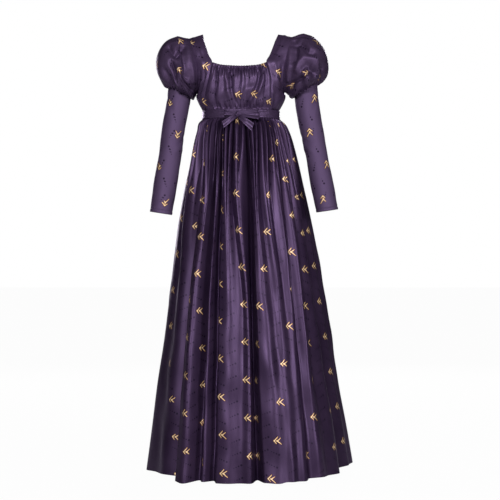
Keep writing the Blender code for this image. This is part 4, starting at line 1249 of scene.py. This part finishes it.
# %% A wrapper for shader sockets
class Sum:
    """A number in a shader: arithmetic on it adds math nodes."""

    def __init__(self, tree, socket):
        self.tree, self.socket = tree, socket

    def node(self, kind, settings=None, **sockets):
        """Any node: its type, its settings and the values or links of its input sockets."""
        made = self.tree.nodes.new(kind)
        for name, value in (settings or {}).items():
            setattr(made, name, value)
        for name, value in sockets.items():
            key = int(name[1:]) if name[1:].isdigit() else name.replace("_", " ")
            if isinstance(value, Sum):
                self.tree.links.new(value.socket, made.inputs[key])
            else:
                made.inputs[key].default_value = value
        return made

    def math(self, operation, other=None):
        sockets = {"s0": self} if other is None else {"s0": self, "s1": other}
        made = self.node("ShaderNodeMath", {"operation": operation}, **sockets)
        return Sum(self.tree, made.outputs[0])

    def flipped(self, operation, other):
        made = self.node("ShaderNodeMath", {"operation": operation}, s0=other, s1=self)
        return Sum(self.tree, made.outputs[0])

    def __add__(self, other): return self.math("ADD", other)
    def __radd__(self, other): return self.flipped("ADD", other)
    def __sub__(self, other): return self.math("SUBTRACT", other)
    def __rsub__(self, other): return self.flipped("SUBTRACT", other)
    def __mul__(self, other): return self.math("MULTIPLY", other)
    def __rmul__(self, other): return self.flipped("MULTIPLY", other)
    def __truediv__(self, other): return self.math("DIVIDE", other)

    def least(self, other): return self.math("MINIMUM", other)
    def most(self, other): return self.math("MAXIMUM", other)
    def root(self): return self.math("SQRT")
    def whole(self): return self.math("ROUND")

    def ramp(self, low, high):
        """0 below low and 1 above high, eased; low may be the larger."""
        if low > high:
            return 1 - self.ramp(high, low)
        made = self.node("ShaderNodeMapRange", {"interpolation_type": "SMOOTHSTEP"}, Value=self,
                         From_Min=low, From_Max=high)
        return Sum(self.tree, made.outputs[0])

    def blend(self, one, two):
        """A colour between two colours, by this share."""
        made = self.node("ShaderNodeMix", {"data_type": "RGBA"}, s0=self, s6=one, s7=two)
        return Sum(self.tree, made.outputs[2])


def start_finish(name):
    """A new material, its tree and its Principled shader."""
    material = bpy.data.materials.new(name)
    material.use_nodes = True
    tree = material.node_tree
    return material, tree, tree.nodes["Principled BSDF"]


print("socket wrapper ready")

# %% [markdown]
# ## The satin
# Satin is woven with long floating threads, so it is smooth and bright one way and softer the other.
# The finish here is a dark plum that is partly metallic, with a tinted gloss, so that its highlights stay
# plum. It is rougher on the sleeves than on the skirt, and has a slow drift of tone and a fine thread
# bump along the cloth. Its plum is painted lighter on the sleeves, the bodice and the puffs and darkest
# on the skirt: painted light, for how the lamps and the sheen fall on each piece. A plain glossy plastic
# would shine white.

# %% Tones of the satins and the print
DOT = (0.006, 0.003, 0.012, 1)
# cream of the painted highlight along the middle of each gold leaf
CREAM_HIGHLIGHT = (1.0, 0.80, 0.50, 1)
GOLD = (0.62, 0.26, 0.06, 1)
OUTLINE = (0.025, 0.006, 0.006, 1)
# ends of the leaves in millimetres, their half widths at both ends
LEAVES = (
    (-10.2, -1.4, 1.2, 11.6, 1.9, 1.0), (-10.4, 0.2, -3.6, -9.2, 1.9, 0.9),
    (-1.6, -1.6, 10.4, 6.8, 1.9, 0.9), (-1.8, 0.2, 12.6, -12.4, 1.9, 0.9),
)
# centres and radii of the dots of a spray in millimetres
SPRAY = ((-12.0, 4.6, 1.3), (-5.2, 2.0, 1.8), (2.4, -1.0, 2.2), (11.0, -4.4, 3.0))
# which pieces, whether printed, the two tones of plum, and roughness; the tones are set lighter or darker
# by piece as painted light, lightest on the sleeves and darkest on the skirt
FINISHES = {
    "skirt_satin": (("skirt_",), True, (0.048, 0.027, 0.065, 1), (0.033, 0.018, 0.047, 1), 0.40),
    "sleeve_satin": (("fitted_",), True, (0.104, 0.067, 0.140, 1), (0.094, 0.060, 0.127, 1), 0.66),
    "bodice_satin": (("centre_", "side_"), True, (0.084, 0.051, 0.112, 1),
                     (0.062, 0.037, 0.084, 1), 0.44),
    "puff_satin": (("puff_",), True, (0.078, 0.047, 0.103, 1), (0.056, 0.034, 0.075, 1), 0.52),
    "tie_satin": (("high_", "loop_", "tail_", "tied_"), False, (0.070, 0.043, 0.093, 1),
                  (0.056, 0.034, 0.075, 1), 0.40),
}
METAL, GLOSS_TINT = 0.35, (0.78, 0.56, 1.0, 1)
TONE_SCALE, ROUGH_DRIFT = 9.0, 0.06
THREAD_SCALE = (2600.0, 420.0, 1.0)
BUMP_STRENGTH, BUMP_HEIGHT = 0.25, 0.0004
MILLIMETRES = 1000
print("finishes", len(FINISHES), "leaves", len(LEAVES), "dots", len(SPRAY))

# %% [markdown]
# ## The motifs
# The sprig is four slim leaves in two nested chevrons, gold and outlined in dark red brown, with a
# painted cream highlight along the middle of each leaf. A spray is four dark dots that grow. Each leaf is
# the distance from a short line and each dot the distance from a point, so the print needs no image.

# %% Draw the motifs
def distance(x, y):
    return (x * x + y * y).root()


def largest(values):
    """The largest of several values in a shader."""
    best, *others = values
    for other in others:
        best = best.most(other)
    return best


def leaf(x, y, x0, y0, x1, y1, wide, narrow):
    """How far a point lies inside one leaf, in millimetres (negative outside)."""
    dx, dy = x1 - x0, y1 - y0
    along = (((x - x0) * dx + (y - y0) * dy) / (dx * dx + dy * dy)).most(0.0).least(1.0)
    away = distance(x - x0 - along * dx, y - y0 - along * dy)
    return wide + along * (narrow - wide) - away


def with_print(tree, colour, rough):
    """The plum and its roughness with the sprigs and the sprays over them."""
    start = Sum(tree, None)
    print_map = start.node("ShaderNodeUVMap", {"uv_map": "print"})
    axes = start.node("ShaderNodeSeparateXYZ", Vector=Sum(tree, print_map.outputs["UV"]))
    kind = Sum(tree, axes.outputs["X"]).whole()
    x = (Sum(tree, axes.outputs["X"]) - kind) * MILLIMETRES
    y = Sum(tree, axes.outputs["Y"]) * MILLIMETRES
    tall = y * (3 - 2 * kind.least(2.0).most(1.0))
    inside = largest([leaf(x, y, *row) for row in LEAVES])
    dots = largest([radius - distance(x - dot_x, tall - dot_y) for dot_x, dot_y, radius in SPRAY])
    is_sprig = 1 - kind.least(1.0)
    is_spray = kind.ramp(0.5, 0.6) * kind.ramp(2.6, 2.5)
    colour = (dots.ramp(-0.7, 0.4) * is_spray * 0.95).blend(colour, DOT)
    colour = (inside.ramp(-2.4, -1.0) * is_sprig * 0.92).blend(colour, OUTLINE)
    # the gold print of the leaves, with a painted cream highlight along their middle
    gold_and_highlight = inside.ramp(-0.1, 1.2).blend(GOLD, CREAM_HIGHLIGHT)
    on_leaf = inside.ramp(-0.5, 0.1) * is_sprig
    return on_leaf.blend(colour, gold_and_highlight), rough + on_leaf * 0.08


print("motifs drawn in millimetres")

# %% [markdown]
# ## Mixing the satins
# One function mixes every satin of the gown from two tones and a roughness. The drift of tone reads the
# object's own coordinates, so it runs on from piece to piece. The threads read the cloth's own map, so
# they bend with it.

# %% Mix the satins
def satin(name, printed, light, dark, roughness):
    """The gown's satin, with or without its print."""
    material, tree, shader = start_finish(name)
    start = Sum(tree, None)
    spot = start.node("ShaderNodeTexCoord").outputs["Object"]
    drift = start.node("ShaderNodeTexNoise", Vector=Sum(tree, spot), Scale=TONE_SCALE, Detail=3.0)
    tone = Sum(tree, drift.outputs["Fac"]).ramp(0.30, 0.70)
    colour = tone.blend(dark, light)
    rough = tone * ROUGH_DRIFT + (roughness - ROUGH_DRIFT / 2)
    if printed:
        colour, rough = with_print(tree, colour, rough)
    cloth_map = start.node("ShaderNodeUVMap", {"uv_map": "cloth"})
    thread = start.node("ShaderNodeMapping", {"vector_type": "POINT"}, Scale=THREAD_SCALE,
                        Vector=Sum(tree, cloth_map.outputs["UV"]))
    weave = start.node("ShaderNodeTexNoise", Vector=Sum(tree, thread.outputs[0]), Scale=1.0,
                       Detail=2.0)
    bump = start.node("ShaderNodeBump", Strength=BUMP_STRENGTH, Distance=BUMP_HEIGHT,
                      Height=Sum(tree, weave.outputs["Fac"]))
    tree.links.new(colour.socket, shader.inputs["Base Color"])
    tree.links.new(rough.socket, shader.inputs["Roughness"])
    tree.links.new(bump.outputs[0], shader.inputs["Normal"])
    shader.inputs["Metallic"].default_value = METAL
    shader.inputs["Specular Tint"].default_value = GLOSS_TINT
    shader.inputs["Specular IOR Level"].default_value = 0.5
    print(name, len(tree.nodes), "nodes")
    return material


for name, (starts, *look) in FINISHES.items():
    finish = satin(name, *look)
    for piece in bpy.data.objects:
        if piece.type == "MESH" and "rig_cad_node" not in piece and piece.name.startswith(starts):
            piece.data.materials.append(finish)

# %% [markdown]
# ## What each sheet was cut to
# Each cloth piece is listed with the flat size of its cut and the way it is held. The laid area over the
# cut area, printed for each piece, tells a maker how well the two agree: under 1 leaves cloth for seams
# and gathers that are too fine to model.

SIDE_CUT = ((0.100, 0.27, 0.68), "stretched")
PUFF_CUT, SLEEVE_CUT = ((0.55, 0.22, 0.90), "gathered"), ((0.25, 0.42, 1.0), "stretched")
CUTS = {
    "centre_front": ((0.265, 0.170, 1.0), "gathered"),
    "centre_back": ((0.245, 0.165, 1.0), "gathered"),
    "side_front_right": SIDE_CUT, "side_front_left": SIDE_CUT,
    "side_back_right": SIDE_CUT, "side_back_left": SIDE_CUT,
    "puff_right": PUFF_CUT, "puff_left": PUFF_CUT,
    "fitted_sleeve_right": SLEEVE_CUT, "fitted_sleeve_left": SLEEVE_CUT,
    "skirt_front_width": ((1.20, 1.15, 1.0), "gathered"),
    "skirt_back_width": ((1.15, 1.15, 1.0), "gathered"),
    "high_band": ((0.74, 0.030, 1.0), "stretched"),
    "loop_right": ((0.10, 0.018, 1.0), "folded"), "loop_left": ((0.15, 0.028, 1.0), "folded"),
    "tail_right": ((0.055, 0.015, 1.0), "hung"), "tail_left": ((0.065, 0.019, 1.0), "hung"),
}
for piece, across, along in PIECES:
    (flat_width, flat_length, filled), held = CUTS[piece.name]
    laid = sum(face.area for face in piece.data.polygons) / 2
    cut = flat_width * flat_length * filled
    print(piece.name, "measures", round(across, 3), "by", round(along, 3),
          "laid over cut", round(laid / cut, 2))

# %% [markdown]
# ## The floor
# A plain white floor meets the hem, as in a catalogue picture. It is one large flat face, a little
# below the hem.

# %% Lay the floor
WHITE = (1, 1, 1, 1)
FLOOR_DROP, FLOOR_SIZE = 1.412, 30
FLOOR_GREY, FLOOR_ROUGHNESS = (0.55, 0.55, 0.55, 1), 0.8
ground = bmesh.new()
bmesh.ops.create_grid(ground, x_segments=1, y_segments=1, size=FLOOR_SIZE)
bmesh.ops.translate(ground, verts=ground.verts, vec=(0, 0, -FLOOR_DROP))
floor_mesh = bpy.data.meshes.new("floor")
ground.to_mesh(floor_mesh)
ground.free()
floor = bpy.data.objects.new("floor", floor_mesh)
bpy.context.scene.collection.objects.link(floor)
floor_finish, floor_tree, floor_shader = start_finish("white_floor")
floor_shader.inputs["Base Color"].default_value = FLOOR_GREY
floor_shader.inputs["Roughness"].default_value = FLOOR_ROUGHNESS
floor_mesh.materials.append(floor_finish)
print("floor at a drop of", FLOOR_DROP)

# %% [markdown]
# ## The surround
# The surround is dim, so that the lamps shape the folds, but a dim surround would look grey in the
# picture. So both it and the floor show nearly plain white, and light the gown with a weaker shader.

# %% Set the surround
SURROUND, SURROUND_SHOWN, FLOOR_SHOWN = 0.035, 1.0, 0.975


def show_white(tree, lit, glow, end, shown):
    """Plain white where it is seen directly, and the shader that lights the gown for all else."""
    start = Sum(tree, None)
    white = start.node(glow, Color=WHITE, Strength=1.0)
    seen = Sum(tree, start.node("ShaderNodeLightPath").outputs["Is Camera Ray"])
    either = start.node("ShaderNodeMixShader", s0=seen * shown,
                        s1=Sum(tree, tree.nodes[lit].outputs[0]), s2=Sum(tree, white.outputs[0]))
    tree.links.new(either.outputs[0], tree.nodes[end].inputs["Surface"])


surround = bpy.data.worlds.new("white_surround")
surround.use_nodes = True
dim = surround.node_tree.nodes["Background"]
dim.inputs["Color"].default_value = WHITE
dim.inputs["Strength"].default_value = SURROUND
show_white(surround.node_tree, "Background", "ShaderNodeBackground", "World Output", SURROUND_SHOWN)
show_white(floor_tree, "Principled BSDF", "ShaderNodeEmission", "Material Output", FLOOR_SHOWN)
bpy.context.scene.world = surround
bpy.context.scene.view_settings.view_transform = "Standard"
print("surround strength", SURROUND)

# %% [markdown]
# ## The lights
# Four large soft lamps light the gown: the key light high at the front left, a weaker one at the front
# right, and two behind it that show the folds of the back. All of them aim at the same point in the
# skirt.

# %% Set the lights
LIGHT_AIM = (0.0, 0.0, -0.6)
# name, place, size, power
LIGHTS = (
    ("key_light", (-0.9, -5.2, 1.5), 1.1, 178), ("side_light", (3.0, -4.0, 0.4), 1.1, 95),
    ("back_light", (0.9, 5.3, 0.9), 1.6, 130), ("back_side_light", (-2.2, 4.8, 0.2), 1.4, 45),
)
for name, at, size, power in LIGHTS:
    lamp = bpy.data.lights.new(name, "AREA")
    lamp.shape, lamp.size, lamp.energy = "DISK", size, power
    holder = bpy.data.objects.new(name, lamp)
    holder.location = at
    way = np.array(LIGHT_AIM) - np.array(at)
    flat = math.hypot(way[0], way[1])
    holder.rotation_euler = (math.atan2(flat, -way[2]), 0, math.atan2(way[1], way[0]) - math.pi / 2)
    bpy.context.scene.collection.objects.link(holder)
print("lights", len(LIGHTS))
